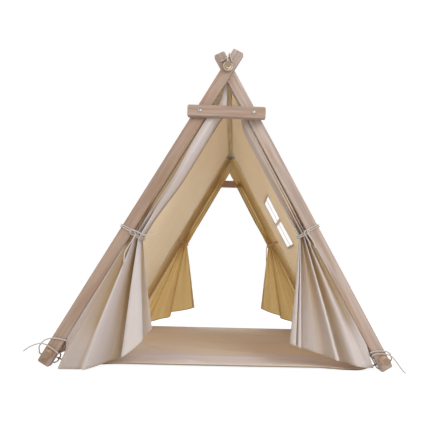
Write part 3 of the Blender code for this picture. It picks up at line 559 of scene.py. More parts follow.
# How each door is tied and falls, with what most of them share first. The side is that of its leg
# before its A-frame is turned. Each fold is a place across the door, from its leg to its free
# edge, where it stands across the hem, how far it stands forward there, how high the hem hangs and
# how deep in shade it lies. The hem runs from corner_x to free_x and stands forward by spread at
# its corner; deep and strip are the depth and the width of what is gathered above the tie, dark is
# how far across it the shade beside the leg reaches, high up and low down, and beside is the depth
# at which it lies against the leg; dusk, low and edge are shades below the tie, at the corner and
# at the sewn edge.
USUAL_DOOR = dict(corner_x=0.538, spread=0.006, deep=1.0, full_top=1.0, crease=0.4, dark=None,
                  dusk=1.0, press=0.17, low=0.7, edge=0.9)
DOORS = {
    "front_left_door": dict(
        USUAL_DOOR, end="front", side=-1, tie_s=0.715, free_x=0.236, corner_x=0.514,
        spread=0.079, deep=1.5, strip=0.05, crease=0.12, dark=(0.23, 0.46), dusk=1.35,
        beside=-0.5494, press=0.36, low=0.62, edge=0.55, tails="open", seed=1.0,
        folds=[(0.0, 0.0, 0.1, 0.003, 0.68), (0.09, 0.1, 0.0, 0.003, 0.72),
               (0.22, 0.22, 0.3, 0.003, 0.86), (0.275, 0.28, 0.5, 0.003, 0.92),
               (0.3, 0.305, 0.9, 0.004, 0.22), (0.41, 0.42, 0.62, 0.01, 0.42),
               (0.51, 0.54, 0.42, 0.02, 0.74), (0.6, 0.645, 0.04, 0.03, 0.88),
               (0.66, 0.665, 0.55, 0.032, 0.35), (0.71, 0.7, 0.92, 0.037, 0.0),
               (0.8, 0.81, 1.0, 0.06, 0.02), (0.87, 0.915, 0.8, 0.088, 0.04),
               (0.91, 0.9, 0.35, 0.094, 0.45), (0.94, 0.905, 0.02, 0.1, 0.75),
               (1.0, 1.0, 0.0, 0.122, 0.45)]),
    "front_right_door": dict(
        USUAL_DOOR, end="front", side=1, tie_s=0.69, free_x=0.244, strip=0.034,
        full_top=0.0, crease=0.1, dark=(0.12, 0.16), dusk=1.5, beside=-0.5275, low=0.25,
        tails="loop", seed=2.0,
        folds=[(0.0, 0.0, 0.1, 0.01, 0.74), (0.1, 0.1, 0.28, 0.013, 0.74),
               (0.17, 0.17, 0.52, 0.017, 0.62), (0.22, 0.22, 0.72, 0.02, 0.22),
               (0.26, 0.26, 0.66, 0.023, 0.5), (0.32, 0.32, 0.4, 0.028, 0.74),
               (0.4, 0.405, 0.08, 0.034, 0.78), (0.46, 0.43, 0.7, 0.037, 0.5),
               (0.5, 0.47, 1.0, 0.04, 0.0), (0.54, 0.5, 0.7, 0.043, 0.55),
               (0.62, 0.59, 0.25, 0.05, 0.74), (0.7, 0.7, 0.42, 0.06, 0.6),
               (0.8, 0.83, 0.12, 0.071, 0.5), (0.845, 0.862, 0.02, 0.074, 0.6),
               (0.875, 0.87, 0.62, 0.075, 0.25), (0.9, 0.9, 0.7, 0.078, 0.1),
               (0.925, 0.925, 0.32, 0.081, 0.7), (0.945, 0.935, 0.66, 0.082, 0.25),
               (0.97, 0.965, 0.74, 0.085, 0.2), (1.0, 1.0, 0.5, 0.088, 0.45)]),
    "rear_right_door": dict(
        USUAL_DOOR, end="rear", side=-1, tie_s=0.64, free_x=0.217, strip=0.04,
        beside=-0.548, tails="hanging", seed=3.0,
        folds=[(0.0, 0.0, 0.1, 0.01, 0.9), (0.14, 0.14, 0.55, 0.019, 0.4),
               (0.26, 0.25, 0.15, 0.03, 0.9), (0.44, 0.42, 0.75, 0.046, 0.2),
               (0.6, 0.62, 0.2, 0.066, 0.9), (0.65, 0.61, 0.5, 0.076, 0.5),
               (0.8, 0.78, 0.9, 0.092, 0.1), (0.9, 0.9, 0.6, 0.106, 0.3),
               (1.0, 1.0, 0.45, 0.12, 0.4)]),
    "rear_left_door": dict(
        USUAL_DOOR, end="rear", side=1, tie_s=0.642, free_x=0.194, strip=0.036,
        beside=-0.5275, tails="loop", seed=4.0,
        folds=[(0.0, 0.0, 0.1, 0.01, 0.45), (0.12, 0.12, 0.7, 0.017, 0.05),
               (0.24, 0.24, 0.2, 0.027, 0.5), (0.4, 0.4, 0.75, 0.042, 0.0),
               (0.56, 0.58, 0.25, 0.06, 0.45), (0.61, 0.575, 0.55, 0.082, 0.2),
               (0.74, 0.72, 0.8, 0.092, 0.0), (0.88, 0.88, 0.45, 0.104, 0.3),
               (1.0, 1.0, 0.7, 0.116, 0.05)]),
}
STRIP_SHARE = 0.16
TIE_ROW = 0.55
DROP_SHARE = 0.05
SEAM_DEPTH = 0.0062


def fold(door, w):
    """The hem at w, as (across, forward, height, shade), on a smooth line through the folds."""
    folds = door["folds"]
    index = 0
    while index < len(folds) - 2 and folds[index + 1][0] < w:
        index += 1
    first, second = folds[index], folds[index + 1]
    before = folds[max(0, index - 1)]
    after = folds[min(len(folds) - 1, index + 2)]
    span = second[0] - first[0]
    t = (w - first[0]) / span
    found = []
    for key in (1, 2, 3, 4):
        start = (second[key] - before[key]) / max(1e-6, second[0] - before[0]) * span
        end = (after[key] - first[key]) / max(1e-6, after[0] - first[0]) * span
        found.append((2.0 * t ** 3 - 3.0 * t * t + 1.0) * first[key]
                     + (t ** 3 - 2.0 * t * t + t) * start
                     + (3.0 * t * t - 2.0 * t ** 3) * second[key] + (t ** 3 - t * t) * end)
    return found


def strip_roll(door, w):
    """The two long rolls of the strip beside the leg, with a sharp crease between them."""
    crease = door["crease"]
    if w < crease:
        return 0.5 * sin(pi * w / crease) ** 0.6
    return sin(pi * (w - crease) / (1.0 - crease)) ** 0.5 if w < 1.0 else 0.0


def seam_ease(u):
    """How far the sewn strip stands back from its seam, u of its width away."""
    return SEAM_DEPTH * max(0.0, 1.0 - 14.0 * u)


def dark_reach(door, s):
    """How far across the strip the painted shade beside the leg reaches."""
    return lerp(*door["dark"], ease(0.28, 0.5, s))


def upper_point(door, s, u, w):
    """The gathered strip behind the leg, between the apex and the tie, at s down the leg, u across
    its sewn part or w across the rest."""
    tie_s = door["tie_s"]
    depth = bpy.context.scene.tent_sizes.bundle_depth
    visible = lerp(door["strip"], BUNDLE_OUT + BUNDLE_WIDTH - 0.5 * BOARD_WIDTH,
                   ease(0.45, tie_s - 0.05, s))
    visible *= lerp(ease(0.12, 0.26, s), 1.0, door["full_top"])
    free_n = max(-s * SIN_LEG / COS_LEG + 0.0003, -0.5 * BOARD_WIDTH - visible)
    fan_n = max(-BUNDLE_OUT + 0.001, lerp(SEAM_N, free_n, 0.55))
    gather = ease(0.32, tie_s - 0.01, s) ** 1.4
    level = ease(0.165, 0.205, s) * ease(tie_s - 0.02, tie_s - 0.14, s)
    if w is None:
        laced = ease(0.018, 0.03, abs(s - tie_s - 0.003))
        y = lerp(seam_ease(u) * laced - DOOR_Y, door["beside"], level * ease(0.8, 1.0, u))
        return board_point(door["side"], s, lerp(SEAM_N, fan_n, min(1.0, 1.25 * u)), y)
    forward = depth * door["deep"] * gather * fold(door, w)[1]
    bulge = 0.01 * strip_roll(door, w) * ease(0.05, 0.3, s) * (1.0 - gather)
    curl = 0.007 * ease(0.78, 1.0, w) * (1.0 - gather) * ease(0.05, 0.2, s)
    groove = 0.007 * exp(-((w - door["crease"]) / 0.045) ** 2)
    back = (-DOOR_Y - door["beside"]) * ease(0.6, 1.02, w) ** 1.3
    y = lerp(-DOOR_Y - forward - bulge + curl, door["beside"] + groove + back, level)
    return board_point(door["side"], s, lerp(fan_n, free_n, w), y)


def hem_point(door, u, w):
    """The lower edge: the sewn strip, then the drop to the corner, then the pleated hem."""
    side = door["side"]
    base_y = -DOOR_Y - 0.01
    turn = board_point(side, SEAM_END_S + 0.03, -BUNDLE_OUT + 0.0006, -DOOR_Y)
    if w is None:
        seam = board_point(side, SEAM_END_S, SEAM_N, seam_ease(u) - DOOR_Y)
        return seam.lerp(turn, min(1.0, 1.25 * u))
    if w < DROP_SHARE:
        corner = Vector((side * door["corner_x"], base_y - door["spread"], door["folds"][0][3]))
        return turn.lerp(corner, w / DROP_SHARE)
    w = (w - DROP_SHARE) / (1.0 - DROP_SHARE)
    across, forward, z, _ = fold(door, w)
    x = side * lerp(door["corner_x"], door["free_x"], across)
    spread = door["spread"] * max(0.0, 1.0 - (w / 0.5) ** 2)
    depth = bpy.context.scene.tent_sizes.hem_depth * ease(0.0, 0.12, w)
    return Vector((x, base_y - spread - depth * forward, z))


def door_point(door, a, b):
    """A point of a door: a runs from the sewn edge to the free one, b from the hem to the apex."""
    row = 1.0 - b
    u = a / STRIP_SHARE
    w = None if a < STRIP_SHARE else (a - STRIP_SHARE) / (1.0 - STRIP_SHARE)
    tie_s = door["tie_s"]
    if row <= TIE_ROW:
        s = lerp(DOOR_TOP_S, tie_s + PINCH_HALF, row / TIE_ROW)
        point = upper_point(door, s, u, w)
        fall = 0.0
    else:
        fall = (row - TIE_ROW) / (1.0 - TIE_ROW)
        point = upper_point(door, tie_s + PINCH_HALF, u, w).lerp(hem_point(door, u, w), fall)
        if w is not None:
            loose = sin(pi * min(1.0, fall * 1.15))
            point.y -= 0.006 * loose * ease(0.0, 0.3, w)
            point.y += 0.004 * loose * ripple(w * 3.0, fall, door["seed"] + 7.0, 2.2)
        press = door["press"]
        hug = ease(0.8, 1.0, u) if w is None else ease(press, 0.5 * press, w)
        hug *= ease(0.02, 0.12, fall) * ease(1.0, 0.95, fall)
        point.y = min(point.y, lerp(point.y, door["beside"], hug))
    return point, w, fall


def strip_shade(door, s, w):
    """How deep in shade the strip beside the leg lies, at s down the leg and w across the strip."""
    crease = exp(-((w - door["crease"]) / 0.04) ** 2)
    if not door["dark"]:
        return (0.6 if w < door["crease"] else 0.8 * ease(0.8, 1.0, w)) + 0.4 * crease
    band = dark_reach(door, s)
    if not door["full_top"]:
        line = ease(1.3 * band, 0.6 * band, w) * ease(0.28, 0.42, s)
        return lerp(lerp(0.4, 0.48, ease(0.7, 0.5, w)), 0.7, line)
    return 0.3 * ease(0.68, band, w) + 0.8 * ease(0.8, 1.0, w)


def door_bmesh(door):
    """One door as a fine sheet, with its hems and painted shade in its folds."""
    width = 0.62
    height = 1.2
    band = 0.3
    columns = 150
    rows = 96

    def shape(a, b):
        point, w, fall = door_point(door, a, b)
        s = lerp(DOOR_TOP_S, door["tie_s"] + PINCH_HALF, min(1.0, (1.0 - b) / TIE_ROW))
        from_free = (1.0 - a) * width * band
        from_low = b * height
        hem = min(from_free, from_low)
        run = from_low if from_free < from_low else from_free / band
        # Painted shade on the sewn strip, eased to the sewn edge's shade
        valley = lerp(0.9, door["edge"], ease(STRIP_SHARE * 0.75, STRIP_SHARE, a))
        # On the rear doors, painted light beyond full shade on the sewn strip, where the leg behind
        # it keeps out the light that comes through
        if door["end"] == "rear":
            valley += 1.1 * ease(STRIP_SHARE * 0.85, STRIP_SHARE * 0.3, a)
        if w is not None:
            # Painted shade of the folds and of the strip beside the leg above the tie, deeper just
            # below the tie and eased to the corner's shade near the hem
            valley = min(1.0, max(0.0, fold(door, w)[3]))
            if fall > 0.0:
                valley = lerp(min(valley, door["edge"]), valley, ease(0.0, 0.03, w))
            else:
                valley = lerp(strip_shade(door, s, w), valley, ease(0.3, door["tie_s"], s))
                if door["dark"] and door["full_top"]:
                    reach = dark_reach(door, s)
                    above = ease(door["tie_s"] - 0.03, door["tie_s"] - 0.12, s)
                    valley = max(valley, 0.74 * above * ease(1.2 * reach, 0.8 * reach, w))
            valley *= lerp(door["dusk"], 1.0, ease(0.1, 0.9, fall))
            pale = ease(0.62, 0.86, fall) * ease(0.34, 0.22, w)
            valley = min(1.0, lerp(valley, door["low"], pale))
        return point, (a * width, b * height), (hem, run, valley)

    bm = cloth_grid(columns, rows, shape)
    bmesh.ops.recalc_face_normals(bm, faces=bm.faces)
    return bm


def mat_corner(x_sign, y_sign):
    """A corner of the mat and the way inwards from it."""
    corner = Vector((x_sign * MAT_HALF_WIDTH, y_sign * MAT_HALF_DEPTH, 0.0))
    return corner, Vector((-x_sign, -y_sign, 0.0)).normalized()


def fold_tab(bm, corner, inward):
    """Bend one corner of the mat upwards over three folds across its diagonal."""
    step = TAB_ANGLE / TAB_FOLDS
    axis = inward.cross(Vector((0.0, 0.0, 1.0)))
    pivot = corner + inward * TAB_LENGTH
    for index in range(TAB_FOLDS):
        start = corner + inward * (TAB_LENGTH - TAB_STEP * index)
        lean = Matrix.Rotation(-step * index, 3, axis)
        normal = lean @ inward
        on_line = pivot + lean @ (start - pivot)
        geometry = bm.verts[:] + bm.edges[:] + bm.faces[:]
        bmesh.ops.bisect_plane(bm, geom=geometry, plane_co=on_line, plane_no=normal, dist=0.00001)
        beyond = [v for v in bm.verts if (v.co - on_line).dot(normal) < -0.00002
                  and (v.co - corner).length < 2.0 * TAB_LENGTH]
        bmesh.ops.rotate(bm, verts=beyond, cent=on_line, matrix=Matrix.Rotation(-step, 3, axis))


# Creases across the mat: where each one crosses the middle, how it slants, its height and width
MAT_CREASES = ((-0.585, -1.27, 0.008, 0.03), (0.31, -0.58, 0.007, 0.022),
               (0.19, 0.05, 0.007, 0.016), (-0.05, 0.22, 0.005, 0.022),
               (-0.36, 0.08, 0.007, 0.018), (-0.22, -0.35, 0.006, 0.02))


def mat_bmesh():
    """The mat with soft folds, a lifted front edge and its four corners bent up."""

    def shape(a, b):
        x = lerp(-MAT_HALF_WIDTH, MAT_HALF_WIDTH, a)
        y = lerp(-MAT_HALF_DEPTH, MAT_HALF_DEPTH, b)
        edge = min(MAT_HALF_WIDTH - abs(x), MAT_HALF_DEPTH - abs(y))
        corner = hypot(MAT_HALF_WIDTH - abs(x), MAT_HALF_DEPTH - abs(y))
        calm = ease(0.0, 0.06, edge) * ease(0.08, 0.2, corner)
        swell = 0.5 + 0.5 * sin(9.0 * y + 2.2 * x + 2.0 * ripple(x, y, 3.3, 1.6))
        rise = 0.004 * swell + 0.006 * max(0.0, ripple(0.5 * x, y, 8.1, 6.0)) ** 1.5
        # lit is painted light: a painted highlight beside each crease, and paler bands towards the
        # front and back, fading out at the edge
        lit = 0.0
        for start, slope, height, width in MAT_CREASES:
            off = (y - start - slope * x + 0.02 * ripple(x, y, start, 3.0)) / width
            strength = 0.55 + 0.45 * ripple(x, start, 5.0, 2.5)
            rise += height * strength * exp(-off * off)
            lit += 0.5 * strength * exp(-(off + 0.8) ** 2)
        front = ease(0.2, 0.42, -y - 0.22 * x + 0.04 * ripple(x, y, 2.0, 4.0))
        back = ease(0.26, 0.44, y + 0.03 * ripple(x, y, 6.0, 5.0))
        lit += 0.75 * front + 0.45 * back
        lit *= ease(0.0, 0.012, edge)
        lip = 0.006 * ease(0.42, 0.505, -y) * ease(0.1, 0.24, corner)
        run = y + 1.0 if MAT_HALF_WIDTH - abs(x) <= edge + 1e-6 else x + 1.0
        bow = -0.007 * cos(0.5 * pi * x / MAT_HALF_WIDTH) * ease(0.35, 0.51, -y)
        roll = 0.003 * sin(pi * min(1.0, edge / 0.016)) * ease(0.06, 0.1, corner)
        return Vector((x, y + bow, rise * calm + roll + lip)), (x, y), (edge, run, min(1.0, lit))

    bm = cloth_grid(110, 120, shape)
    for signs in ((-1, -1), (-1, 1), (1, -1), (1, 1)):
        fold_tab(bm, *mat_corner(*signs))
    bmesh.ops.recalc_face_normals(bm, faces=bm.faces)
    return bm


def eyelet_point(side):
    """Where a front corner's eyelet lies after the folds."""
    corner, inward = mat_corner(side, -1)
    axis = inward.cross(Vector((0.0, 0.0, 1.0)))
    step = TAB_ANGLE / TAB_FOLDS
    point = corner + inward * TAB_LENGTH
    for index in range(TAB_FOLDS):
        lean = Matrix.Rotation(-step * (index + 1), 3, axis)
        rest = TAB_LENGTH - TAB_STEP * index - GROMMET_INSET
        point = point + (lean @ -inward) * (TAB_STEP if index < TAB_FOLDS - 1 else rest)
    return point


def edge_arc(edge_n, edge_y, radius, first, last, steps):
    """Points round an edge, as (n, y), between two angles; 0 is outwards, 90 to the front."""
    arc = []
    for k in range(steps + 1):
        angle = radians(lerp(first, last, k / steps))
        arc.append((edge_n + radius * cos(angle), edge_y - radius * sin(angle)))
    return arc


def tie_back_route(side, face_y, tie_s, tails):
    """Two turns round the leg and the bundle, knotted in front; tails says how the ends fall."""
    front = face_y - CORD_LIE
    behind = face_y + BOARD_THICK
    start = tie_s - 0.5 * WRAP_PITCH
    last = start + 2.0 * WRAP_PITCH
    half = 0.5 * BOARD_WIDTH
    turn = [(-0.018, front), (0.0, front), (0.015, front - 0.0004)]
    turn += edge_arc(half, face_y, EDGE_LIE, 75.0, 0.0, 2)
    turn += [(half + EDGE_LIE, 0.5 * (face_y + behind)), (half + EDGE_LIE, behind - 0.001)]
    if behind < -0.52:
        turn += [(0.0235, -0.518)]
    turn += edge_arc(SEAM_N, -DOOR_Y, EDGE_LIE + 0.0006, 10.0, -80.0, 2)
    turn += [(0.002, -0.4978), (-0.014, -0.496), (-0.032, -0.4945), (-0.05, -0.4955),
             (-0.06, -0.502), (-0.0625, -0.515), (-0.0575, min(-0.528, front + 0.008))]
    turn += [(-0.04, min(-0.533, front + 0.002))]
    if tails == "open":
        tail = min(front - 0.006, -0.548)
        points = [(tie_s + 0.119, -0.065, tail), (tie_s + 0.096, -0.05, tail),
                  (tie_s + 0.074, -0.04, tail), (tie_s + 0.047, -0.039, tail + 0.001),
                  (tie_s + 0.022, -0.04, front - 0.0068)]
        ends = [(-0.006, -0.016, -0.009), (-0.014, -0.02, -0.013), (-0.0175, -0.038, -0.0135),
                (-0.0185, -0.058, -0.009), (-0.0235, -0.076, -0.002), (-0.035, -0.091, 0.003),
                (-0.051, -0.099, 0.004)]
    else:
        points = [(tie_s + 0.055, -0.04, front - 0.009), (tie_s + 0.038, -0.036, front - 0.0085),
                  (tie_s + 0.02, -0.037, front - 0.0075)]
        ends = [(-0.006, -0.0165, -0.0095), (-0.011, -0.0205, -0.0145)]
    if tails == "loop":
        ends += [(-0.004, -0.026, -0.0165), (0.01, -0.0265, -0.015), (0.028, -0.0235, -0.012),
                 (0.044, -0.0235, -0.0105), (0.058, -0.027, -0.01)]
    elif tails == "hanging":
        ends += [(-0.014, -0.036, -0.0135), (-0.008, -0.053, -0.011), (0.004, -0.066, -0.008),
                 (0.016, -0.0724, -0.008), (0.046, -0.0884, -0.008), (0.076, -0.1044, -0.008)]
    points.append((start + 0.003, -0.036, front - 0.007))
    for lap in range(2):
        for index, (n, y) in enumerate(turn):
            points.append((start + WRAP_PITCH * (lap + index / len(turn)), n, y))
    points.append((last, -0.024, front - 0.003))
    points += [(last + ds, n, front + dy) for ds, n, dy in ends]
    return [board_point(side, s, n, y) for s, n, y in points]


def foot_tie_route(side, face_y):
    """From a loose end in front of the foot, through the grommet and back round the leg."""
    front = face_y - CORD_LIE
    behind = face_y + BOARD_THICK
    half = 0.5 * BOARD_WIDTH
    rising = [(0.564, -0.5035, 0.0045), (0.58, -0.504, 0.009)]
    if side < 0:
        first = [(0.64, front - 0.02, 0.052), (0.622, front - 0.016, 0.066),
                 (0.606, front - 0.0125, 0.073), (0.592, front - 0.0095, 0.0765)]
        lowest = 1.178
        across = [(0.025, front - 0.004), (0.01, front), (-0.01, front)]
        rising += [(0.596, -0.5055, 0.025), (0.602, behind - 0.006, 0.04),
                   (0.599, face_y + 0.003, 0.052), (0.5985, front - 0.0002, 0.062),
                   (0.594, front - 0.0006, 0.073), (0.585, front, 0.0835), (0.57, front, 0.0905),
                   (0.55, front, 0.0925), (0.528, front - 0.001, 0.09),
                   (0.507, front - 0.002, 0.085)]
    else:
        first = [(0.633, front - 0.025, 0.0032), (0.623, front - 0.022, 0.013),
                 (0.612, front - 0.0165, 0.03), (0.601, front - 0.012, 0.046),
                 (0.5905, front - 0.008, 0.056), (0.579, front - 0.003, 0.06),
                 (0.564, front, 0.0602), (0.548, front, 0.0598)]
        lowest = 1.172
        across = []
        rising += [(0.5985, -0.505, 0.027), (0.6025, behind - 0.006, 0.04),
                   (0.5965, face_y + 0.003, 0.053), (0.5895, front - 0.0006, 0.063),
                   (0.579, front - 0.0002, 0.0685), (0.564, front, 0.0695), (0.548, front, 0.069),
                   (0.533, front - 0.0005, 0.067), (0.52, front - 0.002, 0.062)]
    leading = [Vector((side * x, y, z)) for x, y, z in first]
    across += edge_arc(-half, face_y, EDGE_LIE, 100.0, 180.0, 2)
    across += [(-half - EDGE_LIE, 0.5 * (face_y + behind)), (-half - EDGE_LIE, behind)]
    for index, (n, y) in enumerate(across):
        leading.append(board_point(side, lowest + 0.0014 * index, n, y))
    eyelet = eyelet_point(side) + Vector((0.0, 0.0, 0.5 * MAT_THICK))
    slope = Vector((side * sin(TAB_ANGLE) * 0.7071, -sin(TAB_ANGLE) * 0.7071,
                    -cos(TAB_ANGLE)))
    through = [eyelet - slope * 0.009, eyelet, eyelet + slope * 0.0085]
    return leading + through + [Vector((side * x, y, z)) for x, y, z in rising]


def notch_point(n, y):
    """A point in the notch between the crossed tips, n out from the legs' centre lines."""
    return 0.0, y, RIDGE_Z + n / SIN_LEG


def lashing_route():
    """From the back leg's tip twice round the pole's end, over the notch, under it and back."""
    front = FRONT_Y - CORD_LIE
    back = INNER_Y + BOARD_THICK
    half = 0.5 * BOARD_WIDTH
    radius = POLE_RADIUS + CORD_LIE + 0.0011
    points = [(-0.033, -0.5337, 1.133), (-0.0245, -0.5339, 1.1366), (-0.0175, -0.5352, 1.1398),
              (-0.0115, -0.543, 1.1424), (-0.008, -0.5497, 1.1416), (-0.0062, -0.553, 1.1386),
              (-0.0045, -0.554, 1.1335), (-0.0005, -0.5537, 1.1265), (0.0035, -0.5535, 1.12)]
    turns = 20
    for k in range(turns + 1):
        angle = radians(68.0 - 688.0 * k / turns)
        y = front - 0.0006 - LASHING_RISE * k / turns
        points.append(round_ridge(radius, angle, y))
    points += [(-0.0034, front - 0.0105, 1.1245), (-0.0028, front - 0.0075, 1.133),
               (-0.0013, front - 0.003, 1.141)]
    points += [notch_point(n, y) for n, y in edge_arc(half, FRONT_Y, EDGE_LIE, 90.0, 0.0, 2)]
    points.append(notch_point(half + CORD_LIE + 0.0004, INNER_Y))
    points += [notch_point(n, y) for n, y in edge_arc(half, back, EDGE_LIE, 0.0, -90.0, 2)]
    behind = back + CORD_LIE + 0.0004
    points += [(-0.0055, behind, 1.134), (-0.0115, behind, 1.12)]
    points += [round_ridge(radius, radians(angle), behind) for angle in range(150, 391, 30)]
    points += [(0.012, behind, 1.12), (0.008, behind + 0.0003, 1.137),
               (0.0062, behind + 0.0008, 1.15), (0.0045, behind - 0.0008, 1.157),
               (0.0034, back - 0.0035, 1.1606), (0.0032, -0.52, 1.1608), (0.0032, -0.54, 1.1608),
               (0.0036, -0.551, 1.1598), (0.0046, -0.5552, 1.155), (0.0062, -0.5562, 1.148),
               (0.0082, -0.5553, 1.14), (0.0118, -0.5542, 1.129), (0.016, -0.5538, 1.1185)]
    return [Vector(p) for p in points]


def even_route(points, spacing):
    """Evenly spaced points along a smooth curve through the route's own points."""
    padded = [points[0] * 2.0 - points[1]] + points + [points[-1] * 2.0 - points[-2]]
    fine = []
    for index in range(1, len(padded) - 2):
        a, b, c, d = padded[index - 1:index + 3]
        for k in range(FINE_STEPS):
            t = k / FINE_STEPS
            fine.append(0.5 * ((2.0 * b) + (c - a) * t + (2.0 * a - 5.0 * b + 4.0 * c - d) * t * t
                               + (3.0 * b - a - 3.0 * c + d) * t ** 3))
    fine.append(points[-1])
    lengths = walked(fine)
    steps = max(2, int(round(lengths[-1] / spacing)))
    route = []
    index = 0
    for k in range(steps + 1):
        target = lengths[-1] * k / steps
        while index < len(lengths) - 2 and lengths[index + 1] < target:
            index += 1
        span = max(1e-9, lengths[index + 1] - lengths[index])
        route.append(fine[index].lerp(fine[index + 1], (target - lengths[index]) / span))
    return route, lengths[-1]


def strand_profile(radius):
    """The section of a cord of three twisted strands, as a small closed curve."""
    curve = bpy.data.curves.new("strand_section", "CURVE")
    curve.dimensions = "2D"
    spline = curve.splines.new("POLY")
    spline.points.add(STRAND_POINTS - 1)
    for k, point in enumerate(spline.points):
        angle = 2.0 * pi * k / STRAND_POINTS
        reach = radius * (0.86 + 0.14 * abs(cos(1.5 * angle)) ** 0.7)
        point.co = (reach * cos(angle), reach * sin(angle), 0.0, 1.0)
    spline.use_cyclic_u = True
    return place("strand_section", curve)


def twisted_cord(name, points, material):
    """A cord of three twisted strands along a route, as a mesh with closed ends."""
    route, length = even_route(points, CORD_STEP)
    section = strand_profile(CORD_RADIUS)
    curve = bpy.data.curves.new(name + "_line", "CURVE")
    curve.dimensions = "3D"
    curve.bevel_mode = "OBJECT"
    curve.bevel_object = section
    curve.use_fill_caps = True
    curve.twist_mode = "MINIMUM"
    spline = curve.splines.new("POLY")
    spline.points.add(len(route) - 1)
    lay = bpy.context.scene.tent_sizes.cord_lay
    for index, (point, at) in enumerate(zip(spline.points, route)):
        point.co = (*at, 1.0)
        point.tilt = 2.0 * pi * length * index / (len(route) - 1) / lay
        ends = min(index, len(route) - 1 - index)
        point.radius = 0.55 + 0.45 * ease(-0.5, 2.5, ends)
    line = place(name + "_line", curve)
    bpy.context.view_layer.update()
    graph = bpy.context.evaluated_depsgraph_get()
    mesh = bpy.data.meshes.new_from_object(line.evaluated_get(graph), depsgraph=graph)
    bpy.data.objects.remove(line)
    bpy.data.objects.remove(section)
    bm = bmesh.new()
    bm.from_mesh(mesh)
    bmesh.ops.remove_doubles(bm, verts=bm.verts, dist=0.00002)
    bmesh.ops.recalc_face_normals(bm, faces=bm.faces)
    bpy.data.meshes.remove(mesh)
    return new_piece(name, bm, [material]), length


def place_cord(node, end, points, body):
    """A twisted cord that replaces its CAD node, turned with its end of the tent."""
    points = [TURN[end] @ p for p in points]
    # The rear tie-backs take a lit copy of the cord's colour: painted warm light
    key = "rear_cord" if node.startswith("rear") and "tie_back" in node else "cord"
    colour = getattr(bpy.context.scene.tent_colours, key)
    material = bpy.data.materials.get(key) or cord_finish(key, colour)
    piece, length = twisted_cord(node + "_cord", points, material)
    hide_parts(node)
    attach(piece, body)
    path = even_route(points, PATH_STEP)[0]


# Sizes and colours that a user would change


def length(name, default, low, high, description):
    """A length that a user can set."""
    return FloatProperty(name=name, description=description, default=default, min=low, max=high,
                         unit="LENGTH")


def colour(name, default, description):
    """A colour that a user can set."""
    return FloatVectorProperty(name=name, description=description, default=default, size=3,
                               subtype="COLOR")


class TentSizes(PropertyGroup):
    wall_sag: length("Wall sag", 0.008, 0.0, 0.03, "How far each wall hangs in at its middle")
    bundle_depth: length(
        "Bundle depth", 0.025, 0.005, 0.05, "How far a tied door's folds stand forward at the tie")
    hem_depth: length(
        "Hem depth", 0.042, 0.005, 0.08, "How far a door's folds stand forward at the hem")
    cord_lay: length(
        "Cord lay", 0.021, 0.005, 0.1, "The length of cord in which its strands make one full turn")


class TentColours(PropertyGroup):
    board: colour("Boards", (0.335, 0.24, 0.186), "The legs and crossbars")
    pole: colour("Poles", (0.47, 0.33, 0.23), "The ridge pole and the base rails")
    canvas: colour("Canvas", (0.69, 0.6, 0.54), "The outer side of the canvas")
    # The inner sides' colours are painted light: the warm light that comes through the canvas
    lining: colour("Lining", (0.86, 0.66, 0.5), "The inner side of the canvas")
    door_lining: colour("Door lining", (0.83, 0.46, 0.19), "The inner side of the doors")
    mat: colour("Mat", (0.82, 0.7, 0.53), "The floor mat")
    # The mat's painted highlight, on its crests and towards its front and back
    mat_highlight: colour("Mat folds", (0.72, 0.66, 0.66), "The pale crests and edges of the mat")
    cord: colour("Cord", (0.52, 0.46, 0.41), "The cotton cords")
    # The rear tie-backs are the same cord in painted warm light
    rear_cord: colour("Rear tie-backs", (0.8, 0.6, 0.38), "The cords that tie the rear doors")
    steel: colour("Steel", (0.46, 0.46, 0.47), "The bolts, nuts and barrels")
    eyelet: colour("Eyelets", (0.4, 0.28, 0.16), "The eyelets of the mat")


# One operator for each group of pieces


